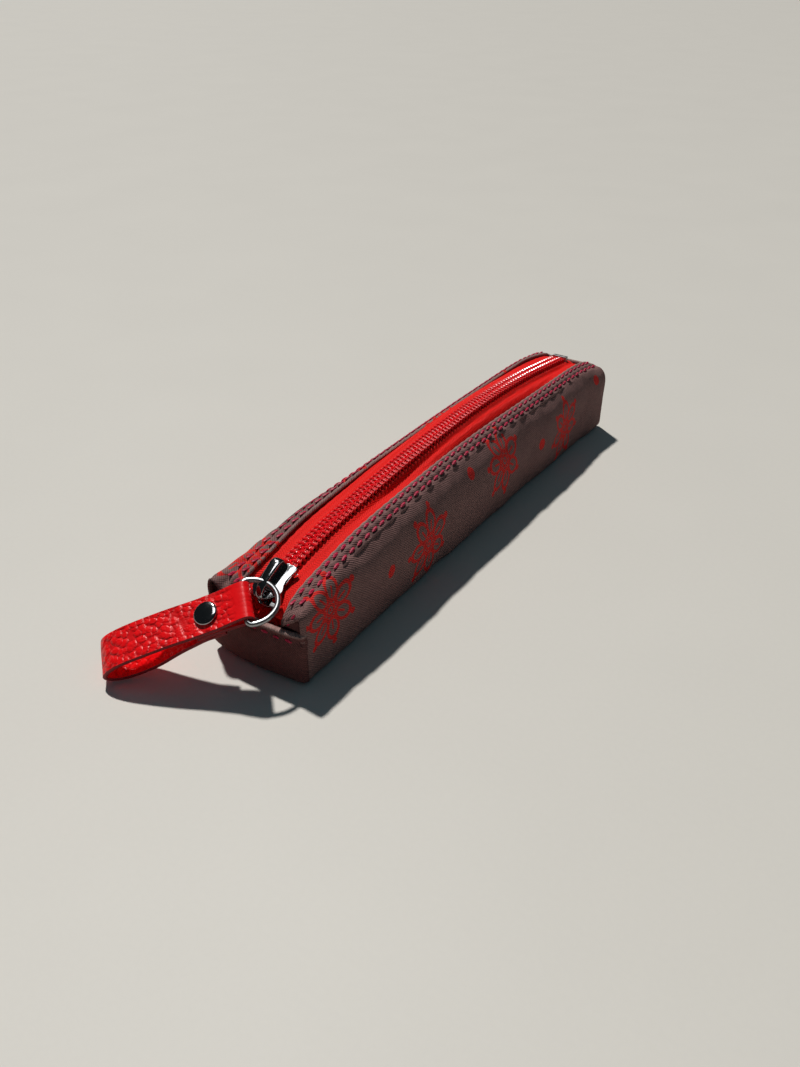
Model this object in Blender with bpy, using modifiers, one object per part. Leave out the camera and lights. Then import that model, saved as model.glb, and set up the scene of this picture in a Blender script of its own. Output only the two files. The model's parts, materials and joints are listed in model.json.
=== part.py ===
"""Slim zipped pen case with a leather pull, modelled piece by piece.

The case lies on its base along Y, front end towards -Y, with +Z up and x = 0 on its
middle line. It is drawn with its front end at y = 0 and moved at the end, so that the
origin is the middle of the base, on the surface it rests on. Metres throughout.
"""

from math import asin, atan2, cos, exp, pi, sin, sqrt

import bmesh
import bpy
from mathutils import Matrix, Vector

# Cloth shell
CASE_LENGTH = 0.200
CASE_WIDTH = 0.034
MIDDLE_BASE_WIDTH = 0.0312
CLOTH = 0.0012
HEM_THICKNESS = 0.0020
HEM_WIDTH = 0.0060
EAR_HEIGHT = 0.0250
MIDDLE_SHOULDER_HEIGHT = 0.0290
SHOULDER_ROUNDING = 0.0080
ROUNDING_LIMIT_SHARE = 0.8
ROUND_START_SHARE = 0.45
ROUND_END_SHARE = 0.75
EAR_ROUNDING = 0.0015
BELLY = 0.0010
END_REACH = 0.0240
MOUTH_WIDTH = 0.0174
HEM_HEIGHT = 0.0308
FRONT_HEM_DROP = 0.0080
FRONT_HEM_REACH = 0.0120
REAR_HEM_DROP = 0.0042
REAR_HEM_REACH = 0.0080
FRONT_END_HEIGHT = 0.0190
REAR_END_HEIGHT = 0.0262
END_HEM_RADIUS = 0.0010
END_CORNER_CUT = 0.0016
UNDER_TOP = 0.0030
SEAM_GAP = 0.0003

# Zip: the chain lies on a long arc and dips to the front end
ARC_TOP = 0.0354
ARC_TOP_SHARE = 0.56
ARC_FALL = 0.0127
FRONT_DIP = 0.0030
FRONT_DIP_REACH = 0.0200
TAPE_FRONT_INSET = 0.0024
TAPE_REAR_INSET = 0.0025
TAPE_THICKNESS = 0.0007
TAPE_FLAT_SHARE = 0.15
TAPE_LEVEL_SHARE = 0.80
CHAIN_HALF_WIDTH = 0.0030
CHAIN_THICKNESS = 0.0020
TOOTH_PITCH = 0.0019
TOOTH_ROOT = 0.0019
TOOTH_REACH = 0.00078
HEAD_START = 0.00008
HEAD_WIDEST = 0.00032
TOOTH_NECK = 0.00056
TOOTH_HEAD = 0.00104
PASSING_HEAD = 0.00072
TOOTH_TIP = 0.00060
TOOTH_SHIFT_SHARE = 0.25
CHAIN_FRONT_INSET = 0.0042
CHAIN_REAR_INSET = 0.0100
PARTING = 0.0029
STOP_LENGTH = 0.0013
STOP_OVERHANG = 0.0002
STOP_GAP = 0.0009
STOP_BEVEL = 0.00025
END_STOP_LENGTH = 0.0022
CLOSING_LENGTH = 0.0030

# Slider, measured from its middle: nose towards the front end
SLIDER_Y = 0.0095
SLIDER_LENGTH = 0.0127
SLIDER_REAR_WIDTH = 0.0094
SLIDER_WAIST_WIDTH = 0.0080
SLIDER_SHOULDER_WIDTH = 0.0096
SLIDER_NOSE_WIDTH = 0.0036
PLATE_SHARES = (
    ("nose", 0.45, -1.0),
    ("nose", 1.0, -0.95),
    ("nose", 1.15, -0.72),
    ("shoulder", 0.84, -0.60),
    ("shoulder", 1.0, -0.42),
    ("shoulder", 0.91, -0.16),
    ("waist", 1.0, 0.16),
    ("rear", 0.925, 0.52),
    ("rear", 1.0, 0.88),
    ("rear", 0.94, 1.0),
)
PLATE_THICKNESS = 0.0010
PLATE_BEVEL = 0.00025
CHANNEL_CLEARANCE = 0.00045
TAPE_SLOT = 0.0013
FLANGE_WIDTH = 0.00085
FLANGE_SHARES = (0.06, 0.90)
WEDGE_WIDTH = 0.0017
WEDGE_SHARES = ((0.15, -0.50), (1.0, -0.72), (0.6, -0.94))
BRIDGE_RISE = 0.0043
BRIDGE_WIDTH = 0.0036
BRIDGE_NOSE_WIDTH = 0.0026
BRIDGE_THICKNESS = 0.0009
BRIDGE_SHARES = (
    (0.80, 0.0, 1.0),
    (0.78, 0.45, 1.0),
    (0.62, 0.86, 1.0),
    (0.30, 1.0, 0.9),
    (-0.40, 1.0, 0.5),
    (-0.74, 0.90, 0.2),
    (-0.92, 0.55, 0.0),
    (-0.94, 0.0, 0.0),
)
EYE_FORWARD = 0.0037
EYE_RISE = 0.00165

# Pull ring: a D of round wire, its straight bar held in the leather
WIRE_DIAMETER = 0.0014
RING_HALF_HEIGHT = 0.0070
RING_DEPTH = 0.0090
RING_CORNER = 0.0015
BAR_DIRECTION = (0.664, -0.631, -0.402)
RING_DIRECTION = (0.707, 0.705, 0.0615)
EYE_ANGLE = 0.64

# Leather pull, measured from the ring's bar along the strap
LEATHER = 0.0013
STRAP_WIDTH = 0.0115
PULL_LENGTH = 0.0450
PULL_DROOP = 0.352
PLY_GAP = 0.0003
BAR_CLEARANCE = 0.00015
LOOP_DEPTH = 0.0072
LOOP_SHARES = (
    (0.55, -0.06),
    (0.80, -0.02),
    (0.94, 0.16),
    (1.0, 0.50),
    (0.965, 0.84),
    (0.86, 1.04),
    (0.70, 1.0),
)
LOOP_RETURN_SHARES = (0.50, 0.42)
FOLD_START_SHARE = 0.6
FOLD_EASE_SHARES = (0.4, 0.6)
TAIL_OVERHANG = 0.0006
RIVET_REACH = 0.0108
CAP_DIAMETER = 0.0070
CAP_HEIGHT = 0.0013
CAP_RIM_SHARE = 0.3
CAP_UNDERSIDE_SHARE = 0.97
BACK_DIAMETER = 0.0062
BACK_HEIGHT = 0.0008
BACK_EDGE_SHARES = (0.88, 0.5)
SHANK_DIAMETER = 0.0022
SOCKET_WALL = 0.0004
RUNNING_GAP = 0.00015

# Facets
WELD = 1e-7
PANEL_ROWS = 30
TAPE_COLUMNS = 6
TAPE_ROWS = 60
FRONT_ROWS_SHARE = 0.3
ROUND_STEPS = 24

HALF_WIDTH = CASE_WIDTH / 2
HALF_MOUTH = MOUTH_WIDTH / 2
CHANNEL_HALF = CHAIN_THICKNESS / 2 + CHANNEL_CLEARANCE
PLATE_TOP = CHANNEL_HALF + PLATE_THICKNESS
ARC_TOP_Y = CASE_LENGTH * ARC_TOP_SHARE
ARC_RADIUS = (ARC_TOP_Y**2 + ARC_FALL**2) / (2 * ARC_FALL)
CHAIN_REAR_Y = CASE_LENGTH - CHAIN_REAR_INSET
END_STOP_Y = CHAIN_REAR_Y + SEAM_GAP + END_STOP_LENGTH / 2
STOP_Y = CHAIN_FRONT_INSET - STOP_GAP - STOP_LENGTH / 2


def clear_scene():
    """Remove the objects that the scene starts with."""
    for item in list(bpy.data.objects):
        bpy.data.objects.remove(item, do_unlink=True)


def new_collection(name):
    group = bpy.data.collections.new(name)
    bpy.context.scene.collection.children.link(group)
    return group


def finish(name, colour, roughness, metallic):
    """Plain surface colour of one piece."""
    material = bpy.data.materials.new(name)
    material.use_nodes = True
    shader = material.node_tree.nodes["Principled BSDF"]
    shader.inputs["Base Color"].default_value = (*colour, 1)
    shader.inputs["Roughness"].default_value = roughness
    shader.inputs["Metallic"].default_value = metallic
    material.diffuse_color = (*colour, 1)
    return material


def add_object(name, mesh, group, material=None, parent=None, place=None):
    """Link a mesh as a named object, with its place kept under its parent."""
    item = bpy.data.objects.new(name, mesh)
    group.objects.link(item)
    if material:
        mesh.materials.clear()
        mesh.materials.append(material)
    if place:
        item.matrix_world = place
    if parent:
        item.parent = parent
        item.matrix_parent_inverse = parent.matrix_world.inverted()
    return item


def add_pivot(name, place, group, parent=None):
    """An empty on a joint's axis, which carries the pieces that turn about it."""
    pivot = bpy.data.objects.new(name, None)
    pivot.empty_display_size = END_REACH
    group.objects.link(pivot)
    pivot.matrix_world = place
    if parent:
        pivot.parent = parent
        pivot.matrix_parent_inverse = parent.matrix_world.inverted()
    bpy.context.view_layer.update()
    return pivot


def mesh_from(name, shape):
    mesh = bpy.data.meshes.new(name)
    shape.to_mesh(mesh)
    shape.free()
    return mesh


def soften(mesh, angle=0.7):
    mesh.shade_smooth()
    mesh.set_sharp_from_angle(angle=angle)


def grid_sheet(name, surface, columns, rows, flip):
    """An open sheet: surface(s, t) gives the point at shares s and t of the grid."""
    shape = bmesh.new()
    bmesh.ops.create_grid(shape, x_segments=columns, y_segments=rows, size=1)
    for vertex in shape.verts:
        vertex.co = surface((vertex.co.x + 1) / 2, (vertex.co.y + 1) / 2)
    if flip:
        bmesh.ops.reverse_faces(shape, faces=shape.faces)
    return mesh_from(name, shape)


def flat_outline(name, points, half_thickness):
    """A closed flat outline, filled and extruded both ways along its normal."""
    curve = bpy.data.curves.new(name, "CURVE")
    curve.dimensions = "2D"
    curve.fill_mode = "BOTH"
    curve.extrude = half_thickness
    line = curve.splines.new("POLY")
    line.points.add(len(points) - 1)
    for point, (x, y) in zip(line.points, points):
        point.co = (x, y, 0, 1)
    line.use_cyclic_u = True
    return mesh_of_curve(curve)


def wire_along(name, points, radius, closed, sides=3):
    """Round wire along a line of points."""
    curve = bpy.data.curves.new(name, "CURVE")
    curve.dimensions = "3D"
    curve.bevel_depth = radius
    curve.bevel_resolution = sides
    curve.use_fill_caps = True
    line = curve.splines.new("POLY")
    line.points.add(len(points) - 1)
    for point, place in zip(line.points, points):
        point.co = (*place, 1)
    line.use_cyclic_u = closed
    return mesh_of_curve(curve)


def mesh_of_curve(curve):
    """A curve as a closed mesh with its caps welded."""
    holder = bpy.data.objects.new(curve.name, curve)
    bpy.context.scene.collection.objects.link(holder)
    bpy.context.view_layer.update()
    ready = holder.evaluated_get(bpy.context.evaluated_depsgraph_get())
    mesh = bpy.data.meshes.new_from_object(ready)
    bpy.data.objects.remove(holder, do_unlink=True)
    shape = bmesh.new()
    shape.from_mesh(mesh)
    bmesh.ops.remove_doubles(shape, verts=shape.verts, dist=WELD)
    bmesh.ops.recalc_face_normals(shape, faces=shape.faces)
    shape.to_mesh(mesh)
    shape.free()
    return mesh


def turned(name, profile, group, material, place, parent):
    """A solid of revolution: the profile runs top to bottom at +X."""
    shape = bmesh.new()
    corners = [shape.verts.new((radius, 0, height)) for radius, height in profile]
    for start, end in zip(corners, corners[1:]):
        shape.edges.new((start, end))
    item = add_object(name, mesh_from(name, shape), group, material, parent, place)
    screw = item.modifiers.new("turn", "SCREW")
    screw.steps = screw.render_steps = ROUND_STEPS
    screw.use_merge_vertices = True
    screw.merge_threshold = WELD
    screw.use_normal_calculate = False
    screw.use_smooth_shade = True
    return item


def box_cutter(name, low, high, group, place=None):
    """A box between two corners, for cutting or joining."""
    shape = bmesh.new()
    bmesh.ops.create_cube(shape, size=1)
    low, high = Vector(low), Vector(high)
    for vertex in shape.verts:
        vertex.co = [a + (b - a) * (c + 0.5) for a, b, c in zip(low, high, vertex.co)]
    item = add_object(name, mesh_from(name, shape), group, place=place)
    hide_helper(item)
    return item


def hide_helper(item):
    item.hide_render = True
    item.display_type = "WIRE"


def boolean(item, other, operation):
    step = item.modifiers.new(operation.lower(), "BOOLEAN")
    step.operation = operation
    step.object = other
    step.solver = "EXACT"


# Shape of the cloth shell


def ease(share):
    """0 up to 0, 1 from 1, and smooth between."""
    share = min(1, max(0, share))
    return share * share * (3 - 2 * share)


def end_share(y):
    """1 at either end of the case, fading to 0 along END_REACH."""
    reach = min(y, CASE_LENGTH - y) / END_REACH
    return exp(-reach * reach)


def mix(middle, end, share):
    return middle + (end - middle) * share


def hem_height(y):
    """Height of the folded edge beside the zip."""
    front = FRONT_HEM_DROP * exp(-y / FRONT_HEM_REACH)
    rear = REAR_HEM_DROP * exp(-(CASE_LENGTH - y) / REAR_HEM_REACH)
    return HEM_HEIGHT - front - rear


def base_half(y):
    return mix(MIDDLE_BASE_WIDTH / 2, HALF_WIDTH, end_share(y))


def shoulder(y):
    """Corner that the side would have if its shoulder were sharp."""
    return Vector((HALF_WIDTH, mix(MIDDLE_SHOULDER_HEIGHT, EAR_HEIGHT, end_share(y))))


def hem_corner(y):
    return Vector((HALF_MOUTH, hem_height(y)))


def side_section(y, share):
    """Point of the outer side at a station, from the base (0) to the hem (1)."""
    foot = Vector((base_half(y), 0))
    top = shoulder(y)
    hem = hem_corner(y)
    rounding = mix(SHOULDER_ROUNDING, EAR_ROUNDING, end_share(y))
    rounding = min(rounding, ROUNDING_LIMIT_SHARE * (hem - top).length)
    before = top + (foot - top).normalized() * rounding
    after = top + (hem - top).normalized() * rounding
    if share <= ROUND_START_SHARE:
        point = foot.lerp(before, share / ROUND_START_SHARE)
    elif share <= ROUND_END_SHARE:
        u = (share - ROUND_START_SHARE) / (ROUND_END_SHARE - ROUND_START_SHARE)
        point = before * (1 - u) ** 2 + top * 2 * u * (1 - u) + after * u * u
    else:
        u = (share - ROUND_END_SHARE) / (1 - ROUND_END_SHARE)
        point = after.lerp(hem, u)
    swell = BELLY * (1 - end_share(y)) * sin(pi * min(point.y / top.y, 1))
    return Vector((point.x + swell, point.y))


def along_case(share):
    """Stations along the case, closer together at its ends."""
    return CASE_LENGTH * (0.5 - 0.5 * cos(pi * share))


def hem_seat(y):
    """Middle of the folded edge's face, set off by the seam gap, where the tape starts."""
    top, hem = shoulder(y), hem_corner(y)
    along = (hem - top).normalized()
    outward = Vector((-along.y, along.x))
    if outward.y < 0:
        outward = -outward
    return hem - outward * HEM_THICKNESS / 2 + along * SEAM_GAP


# Shape of the zip


def arc_height(y):
    reach = y - ARC_TOP_Y
    return ARC_TOP - ARC_RADIUS + sqrt(ARC_RADIUS**2 - reach * reach)


def chain_height(y):
    """Middle of the closed chain."""
    dip = max(0, 1 - y / FRONT_DIP_REACH)
    return arc_height(y) - FRONT_DIP * dip * dip


def chain_slope(y):
    step = TAPE_THICKNESS
    return (chain_height(y + step) - chain_height(y - step)) / (2 * step)


def parting(y):
    """Sideways shift of each half where the slider's wedge holds them apart."""
    return PARTING * ease((SLIDER_Y - y) / (SLIDER_LENGTH / 2))


def side_panel(side, group, material):
    """One printed side: it rises from the base and folds in to the zip."""
    name = "side_panel_right" if side > 0 else "side_panel_left"

    def surface(s, t):
        y = along_case(t)
        point = side_section(y, s)
        return (side * point.x, y, point.y)

    mesh = grid_sheet(name, surface, 12, PANEL_ROWS, flip=side > 0)
    item = add_object(name, mesh, group, material)
    weights = item.vertex_groups.new(name="plies")
    for vertex in mesh.vertices:
        hem = hem_corner(vertex.co.y)
        reach = (Vector((abs(vertex.co.x), vertex.co.z)) - hem).length
        folded = reach < HEM_WIDTH
        weights.add([vertex.index], 1 if folded else CLOTH / HEM_THICKNESS, "REPLACE")
    wall = item.modifiers.new("cloth", "SOLIDIFY")
    wall.thickness = HEM_THICKNESS
    wall.offset = -1
    wall.vertex_group = weights.name
    wall.use_even_offset = True
    soften(mesh)
    return item


def base_panel(group, material):
    """Flat base between the sides and the ends."""
    start = CLOTH + SEAM_GAP
    rows = PANEL_ROWS // 2

    def edge(y):
        return base_half(y) - CLOTH - 2 * SEAM_GAP

    stations = [start + (CASE_LENGTH - 2 * start) * i / rows for i in range(rows + 1)]
    right = [(edge(y), y) for y in stations]
    left = [(-edge(y), y) for y in reversed(stations)]
    mesh = flat_outline("base_panel", right + left, CLOTH / 2)
    place = Matrix.Translation((0, 0, CLOTH / 2))
    return add_object("base_panel", mesh, group, material, place=place)


def end_panel(name, y_outer, inward, hem_top, group, material, cutters):
    """Plain end with a rolled hem across the foot of the zip."""
    y_inner = y_outer + inward * CLOTH
    wall = base_half(y_outer) - CLOTH - 2 * SEAM_GAP
    ear, hem = shoulder(y_outer), hem_corner(y_outer)
    roll = END_HEM_RADIUS
    notch = hem_top - roll

    def under_top(x):
        return mix(hem.y, ear.y, (x - hem.x) / (ear.x - hem.x)) - UNDER_TOP

    right = [
        (wall - END_CORNER_CUT / 2, 0),
        (wall, END_CORNER_CUT / 2),
        (wall, under_top(wall) - END_CORNER_CUT),
        (wall - END_CORNER_CUT, under_top(wall - END_CORNER_CUT)),
        (hem.x, under_top(hem.x)),
        (hem.x - roll, notch),
    ]
    left = [(-x, z) for x, z in reversed(right)]
    mesh = flat_outline(name, right + left, CLOTH / 2)
    middle = (y_outer + y_inner) / 2
    place = Matrix.Translation((0, middle, 0)) @ Matrix.Rotation(pi / 2, 4, "X")
    item = add_object(name, mesh, group, material, place=place)
    reach = hem.x - roll / 2
    y_roll = y_outer + inward * roll
    line = [(-reach, y_roll, notch), (reach, y_roll, notch)]
    hem_roll = add_object(name + "_roll", wire_along(name + "_roll", line, roll, False), cutters)
    hide_helper(hem_roll)
    boolean(item, hem_roll, "UNION")
    return item


def zip_tape(side, group, material, pivot):
    """Woven tape from the folded edge to its half of the chain."""
    name = "zip_tape_right" if side > 0 else "zip_tape_left"

    length = CASE_LENGTH - TAPE_FRONT_INSET - TAPE_REAR_INSET

    def surface(s, t):
        y = TAPE_FRONT_INSET + length * t * mix(FRONT_ROWS_SHARE, 1, t)
        seat = hem_seat(y)
        past_stop = (y - END_STOP_Y - END_STOP_LENGTH / 2) / CLOSING_LENGTH
        edge = mix(CHAIN_HALF_WIDTH + SEAM_GAP + parting(y), SEAM_GAP, ease(past_stop))
        rise = ease((s - TAPE_FLAT_SHARE) / (TAPE_LEVEL_SHARE - TAPE_FLAT_SHARE))
        return (side * mix(seat.x, edge, s), y, mix(seat.y, chain_height(y), rise))

    mesh = grid_sheet(name, surface, TAPE_COLUMNS, TAPE_ROWS, flip=side > 0)
    item = add_object(name, mesh, group, material, pivot)
    weave = item.modifiers.new("weave", "SOLIDIFY")
    weave.thickness = TAPE_THICKNESS
    weave.offset = 0
    soften(mesh)
    return item


def zip_chain(side, group, material, pivot):
    """Half of the chain: a back with heads that lock past those of the other half.

    The heads that pass each other under the slider are squeezed narrower.
    """
    name = "zip_teeth_right" if side > 0 else "zip_teeth_left"
    count = int((CHAIN_REAR_Y - CHAIN_FRONT_INSET) / TOOTH_PITCH)
    shift = TOOTH_PITCH * (1 - TOOTH_SHIFT_SHARE if side > 0 else TOOTH_SHIFT_SHARE)
    outline = []
    for tooth in range(count):
        y = CHAIN_FRONT_INSET + shift + tooth * TOOTH_PITCH
        passing = 0 < parting(y) < TOOTH_REACH + HEAD_WIDEST
        head = PASSING_HEAD if passing else TOOTH_HEAD
        outline += [
            (TOOTH_ROOT, y - TOOTH_NECK / 2),
            (-HEAD_START, y - TOOTH_NECK / 2),
            (-HEAD_WIDEST, y - head / 2),
            (-TOOTH_REACH, y - TOOTH_TIP / 2),
            (-TOOTH_REACH, y + TOOTH_TIP / 2),
            (-HEAD_WIDEST, y + head / 2),
            (-HEAD_START, y + TOOTH_NECK / 2),
            (TOOTH_ROOT, y + TOOTH_NECK / 2),
        ]
    for tooth in range(count, -1, -1):
        outline.append((CHAIN_HALF_WIDTH, CHAIN_FRONT_INSET + tooth * TOOTH_PITCH))
    mesh = flat_outline(name, outline, CHAIN_THICKNESS / 2)
    for vertex in mesh.vertices:
        y = vertex.co.y
        vertex.co.x = side * (vertex.co.x + parting(y))
        vertex.co.z += chain_height(y)
    if side < 0:
        mesh.flip_normals()
    soften(mesh)
    return add_object(name, mesh, group, material, pivot)


def top_stop(side, group, material, pivot):
    """Metal stop clamped on each half in front of its first tooth."""
    name = "top_stop_right" if side > 0 else "top_stop_left"
    inner = parting(STOP_Y) + TOOTH_REACH
    outer = parting(STOP_Y) + CHAIN_HALF_WIDTH
    half = CHAIN_THICKNESS / 2 + STOP_OVERHANG
    return block(name, (inner, -STOP_LENGTH / 2, -half), (outer, STOP_LENGTH / 2, half),
                 STOP_Y, side, group, material, pivot)


def end_stop(group, material):
    """Metal stop across both halves behind the last tooth."""
    half = CHAIN_THICKNESS / 2 + STOP_OVERHANG
    return block("end_stop", (-CHAIN_HALF_WIDTH, -END_STOP_LENGTH / 2, -half),
                 (CHAIN_HALF_WIDTH, END_STOP_LENGTH / 2, half),
                 END_STOP_Y, 1, group, material, None)


def block(name, low, high, y, side, group, material, parent):
    """A small bevelled block on the chain, turned to its slope."""
    shape = bmesh.new()
    bmesh.ops.create_cube(shape, size=1)
    for vertex in shape.verts:
        vertex.co = [a + (b - a) * (c + 0.5) for a, b, c in zip(low, high, vertex.co)]
        vertex.co.x *= side
    bmesh.ops.recalc_face_normals(shape, faces=shape.faces)
    bmesh.ops.bevel(shape, geom=shape.edges, offset=STOP_BEVEL, segments=2, profile=0.5,
                    affect="EDGES", material=-1)
    slope = Matrix.Rotation(atan2(chain_slope(y), 1), 4, "X")
    place = Matrix.Translation((0, y, chain_height(y))) @ slope
    mesh = mesh_from(name, shape)
    soften(mesh)
    return add_object(name, mesh, group, material, parent, place)


# Slider and pull


def slider_place():
    tilt = Matrix.Rotation(atan2(chain_slope(SLIDER_Y), 1), 4, "X")
    return Matrix.Translation((0, SLIDER_Y, chain_height(SLIDER_Y))) @ tilt


def plate_outline():
    """Hourglass outline of both plates, nose towards -Y."""
    widths = {
        "nose": SLIDER_NOSE_WIDTH,
        "shoulder": SLIDER_SHOULDER_WIDTH,
        "waist": SLIDER_WAIST_WIDTH,
        "rear": SLIDER_REAR_WIDTH,
    }
    right = [
        (widths[place] / 2 * across, SLIDER_LENGTH / 2 * along)
        for place, across, along in PLATE_SHARES
    ]
    left = [(-x, y) for x, y in reversed(right)]
    return right + left


def slider_body(group, material, pivot, cutters):
    """Two plates joined by the wedge, with side flanges and a bridge for the ring."""
    place = slider_place()
    half = SLIDER_LENGTH / 2
    middle = CHANNEL_HALF + PLATE_THICKNESS / 2
    outline = plate_outline()
    plates = []
    for name, height in (("slider_body", middle), ("slider_lower_plate", -middle)):
        mesh = flat_outline(name, outline, PLATE_THICKNESS / 2)
        mesh.transform(Matrix.Translation((0, 0, height)))
        plates.append(mesh)
    body = add_object("slider_body", plates[0], group, material, pivot, place)
    lower = add_object("slider_lower_plate", plates[1], cutters, place=place)
    hide_helper(lower)

    wedge_right = [(WEDGE_WIDTH / 2 * across, half * along) for across, along in WEDGE_SHARES]
    wedge_left = [(-x, y) for x, y in reversed(wedge_right)]
    wedge_mesh = flat_outline("slider_wedge", wedge_right + wedge_left, middle)
    wedge_item = add_object("slider_wedge", wedge_mesh, cutters, place=place)
    hide_helper(wedge_item)

    additions = [wedge_item, lower]
    inner = CHAIN_HALF_WIDTH + SEAM_GAP + RUNNING_GAP
    for side in (-1, 1):
        for level in (-1, 1):
            x_range = sorted((side * inner, side * (inner + FLANGE_WIDTH)))
            z_range = sorted((level * TAPE_SLOT / 2, level * middle))
            flange = box_cutter(
                "slider_flange_%d_%d" % (side, level),
                (x_range[0], half * FLANGE_SHARES[0], z_range[0]),
                (x_range[1], half * FLANGE_SHARES[1], z_range[1]),
                cutters, place)
            additions.append(flange)
    additions.append(slider_bridge(cutters, place))
    for other in additions:
        boolean(body, other, "UNION")
    edge = body.modifiers.new("edge", "BEVEL")
    edge.width = PLATE_BEVEL
    edge.segments = 1
    edge.limit_method = "ANGLE"
    edge.angle_limit = 1.2
    return body


def slider_bridge(cutters, place):
    """Arched strip over the upper plate, from its rear to its nose."""
    half = SLIDER_LENGTH / 2
    top = PLATE_TOP + BRIDGE_RISE - BRIDGE_THICKNESS / 2
    foot = PLATE_TOP - PLATE_THICKNESS / 2
    shape = bmesh.new()
    previous = None
    for along, rise, breadth in BRIDGE_SHARES:
        y, z = half * along, mix(foot, top, rise)
        reach = mix(BRIDGE_NOSE_WIDTH, BRIDGE_WIDTH, breadth) / 2
        row = [shape.verts.new((-reach, y, z)), shape.verts.new((reach, y, z))]
        if previous:
            shape.faces.new((previous[0], previous[1], row[1], row[0]))
        previous = row
    bmesh.ops.recalc_face_normals(shape, faces=shape.faces)
    item = add_object("slider_bridge", mesh_from("slider_bridge", shape), cutters, place=place)
    strip = item.modifiers.new("metal", "SOLIDIFY")
    strip.thickness = BRIDGE_THICKNESS
    strip.offset = 0
    strip.use_even_offset = True
    hide_helper(item)
    return item


def ring_frame():
    """Place of the ring's bar: X along the bar, Y towards the eye, Z off its plane."""
    bar = Vector(BAR_DIRECTION).normalized()
    reach = Vector(RING_DIRECTION)
    reach = (reach - bar * reach.dot(bar)).normalized()
    normal = bar.cross(reach)
    turn = Matrix((bar, reach, normal)).transposed().to_4x4()
    eye = eye_point()
    across, deep = eye_on_ring()
    return Matrix.Translation(eye - bar * across - reach * deep) @ turn


def eye_point():
    """Middle of the ring's wire where it runs through the bridge."""
    return slider_place() @ Vector((0, -EYE_FORWARD, PLATE_TOP + EYE_RISE))


def eye_on_ring():
    """Place on the ring, along and off its bar, of the wire in the bridge."""
    across = -RING_HALF_HEIGHT * cos(EYE_ANGLE)
    deep = RING_CORNER + (RING_DEPTH - RING_CORNER) * sin(EYE_ANGLE)
    return across, deep


def eye_axis():
    """Direction of the ring's wire in the bridge, about which the ring swings."""
    across = RING_HALF_HEIGHT * sin(EYE_ANGLE)
    deep = (RING_DEPTH - RING_CORNER) * cos(EYE_ANGLE)
    return (ring_frame().to_3x3() @ Vector((across, deep, 0))).normalized()


def ring_line():
    """Closed D: a half ellipse, two corners and the straight bar."""
    points = []
    flat = RING_HALF_HEIGHT - RING_CORNER
    for i in range(ROUND_STEPS + 1):
        angle = pi * i / ROUND_STEPS
        deep = RING_CORNER + (RING_DEPTH - RING_CORNER) * sin(angle)
        points.append((RING_HALF_HEIGHT * cos(angle), deep, 0))
    corner_steps = ROUND_STEPS // 6
    for centre, start in ((-flat, pi), (flat, 1.5 * pi)):
        for i in range(1 if centre < 0 else 0, corner_steps + (1 if centre < 0 else 0)):
            angle = start + pi / 2 * i / corner_steps
            x = centre + RING_CORNER * cos(angle)
            points.append((x, RING_CORNER + RING_CORNER * sin(angle), 0))
    return points


def pull_ring(group, material, pivot):
    mesh = wire_along("pull_ring", ring_line(), WIRE_DIAMETER / 2, True)
    soften(mesh)
    return add_object("pull_ring", mesh, group, material, pivot, ring_frame())


def strap_frame():
    """Place of the strap: X across it, along the bar, Y along the pull, Z its face."""
    turn = Matrix.Rotation(pi, 4, "Z") @ Matrix.Rotation(-PULL_DROOP, 4, "X")
    return ring_frame() @ turn


def smooth_line(points, steps):
    """Points on a smooth curve through the given points."""
    line = []
    for i in range(len(points) - 1):
        before = Vector(points[max(i - 1, 0)])
        start, end = Vector(points[i]), Vector(points[i + 1])
        after = Vector(points[min(i + 2, len(points) - 1)])
        for k in range(steps):
            t = k / steps
            line.append(0.5 * (2 * start + (end - before) * t
                               + (2 * before - 5 * start + 4 * end - after) * t * t
                               + (3 * start - before - 3 * end + after) * t**3))
    line.append(Vector(points[-1]))
    return line


def strap_line():
    """Middle of the leather, from its tail round the bar and out to the loop and back."""
    ply = LEATHER + PLY_GAP
    fold = WIRE_DIAMETER / 2 + BAR_CLEARANCE + LEATHER / 2
    front, tail, back = ply / 2, -ply / 2, -1.5 * ply
    bend = PULL_LENGTH - LEATHER / 2
    cap = CAP_DIAMETER / 2
    ease_along, ease_across = FOLD_EASE_SHARES
    tail_line = [
        (RIVET_REACH + cap + TAIL_OVERHANG, tail),
        (RIVET_REACH, tail),
        (RIVET_REACH - cap, tail),
        (RIVET_REACH * ease_along, mix(tail, -fold, ease_across)),
        (fold * FOLD_START_SHARE, -fold),
    ]
    fold_steps = 8
    fold_line = []
    for i in range(1, fold_steps):
        angle = pi / 2 + pi * i / fold_steps
        fold_line.append((fold * cos(angle), -fold * sin(angle)))
    return_along, return_across = LOOP_RETURN_SHARES
    loop_line = [
        (fold * FOLD_START_SHARE, fold),
        (RIVET_REACH * ease_along, mix(front, fold, ease_across)),
        (RIVET_REACH - cap, front),
        (RIVET_REACH, front),
        (RIVET_REACH + cap, front),
    ]
    loop_line += [(bend * along, front - LOOP_DEPTH * depth) for along, depth in LOOP_SHARES]
    loop_line += [
        (bend * return_along, mix(back, front - LOOP_DEPTH, return_across)),
        (RIVET_REACH + cap, back),
        (RIVET_REACH, back),
        (RIVET_REACH - cap, back),
    ]
    return smooth_line(tail_line + fold_line + loop_line, 3)


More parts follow.
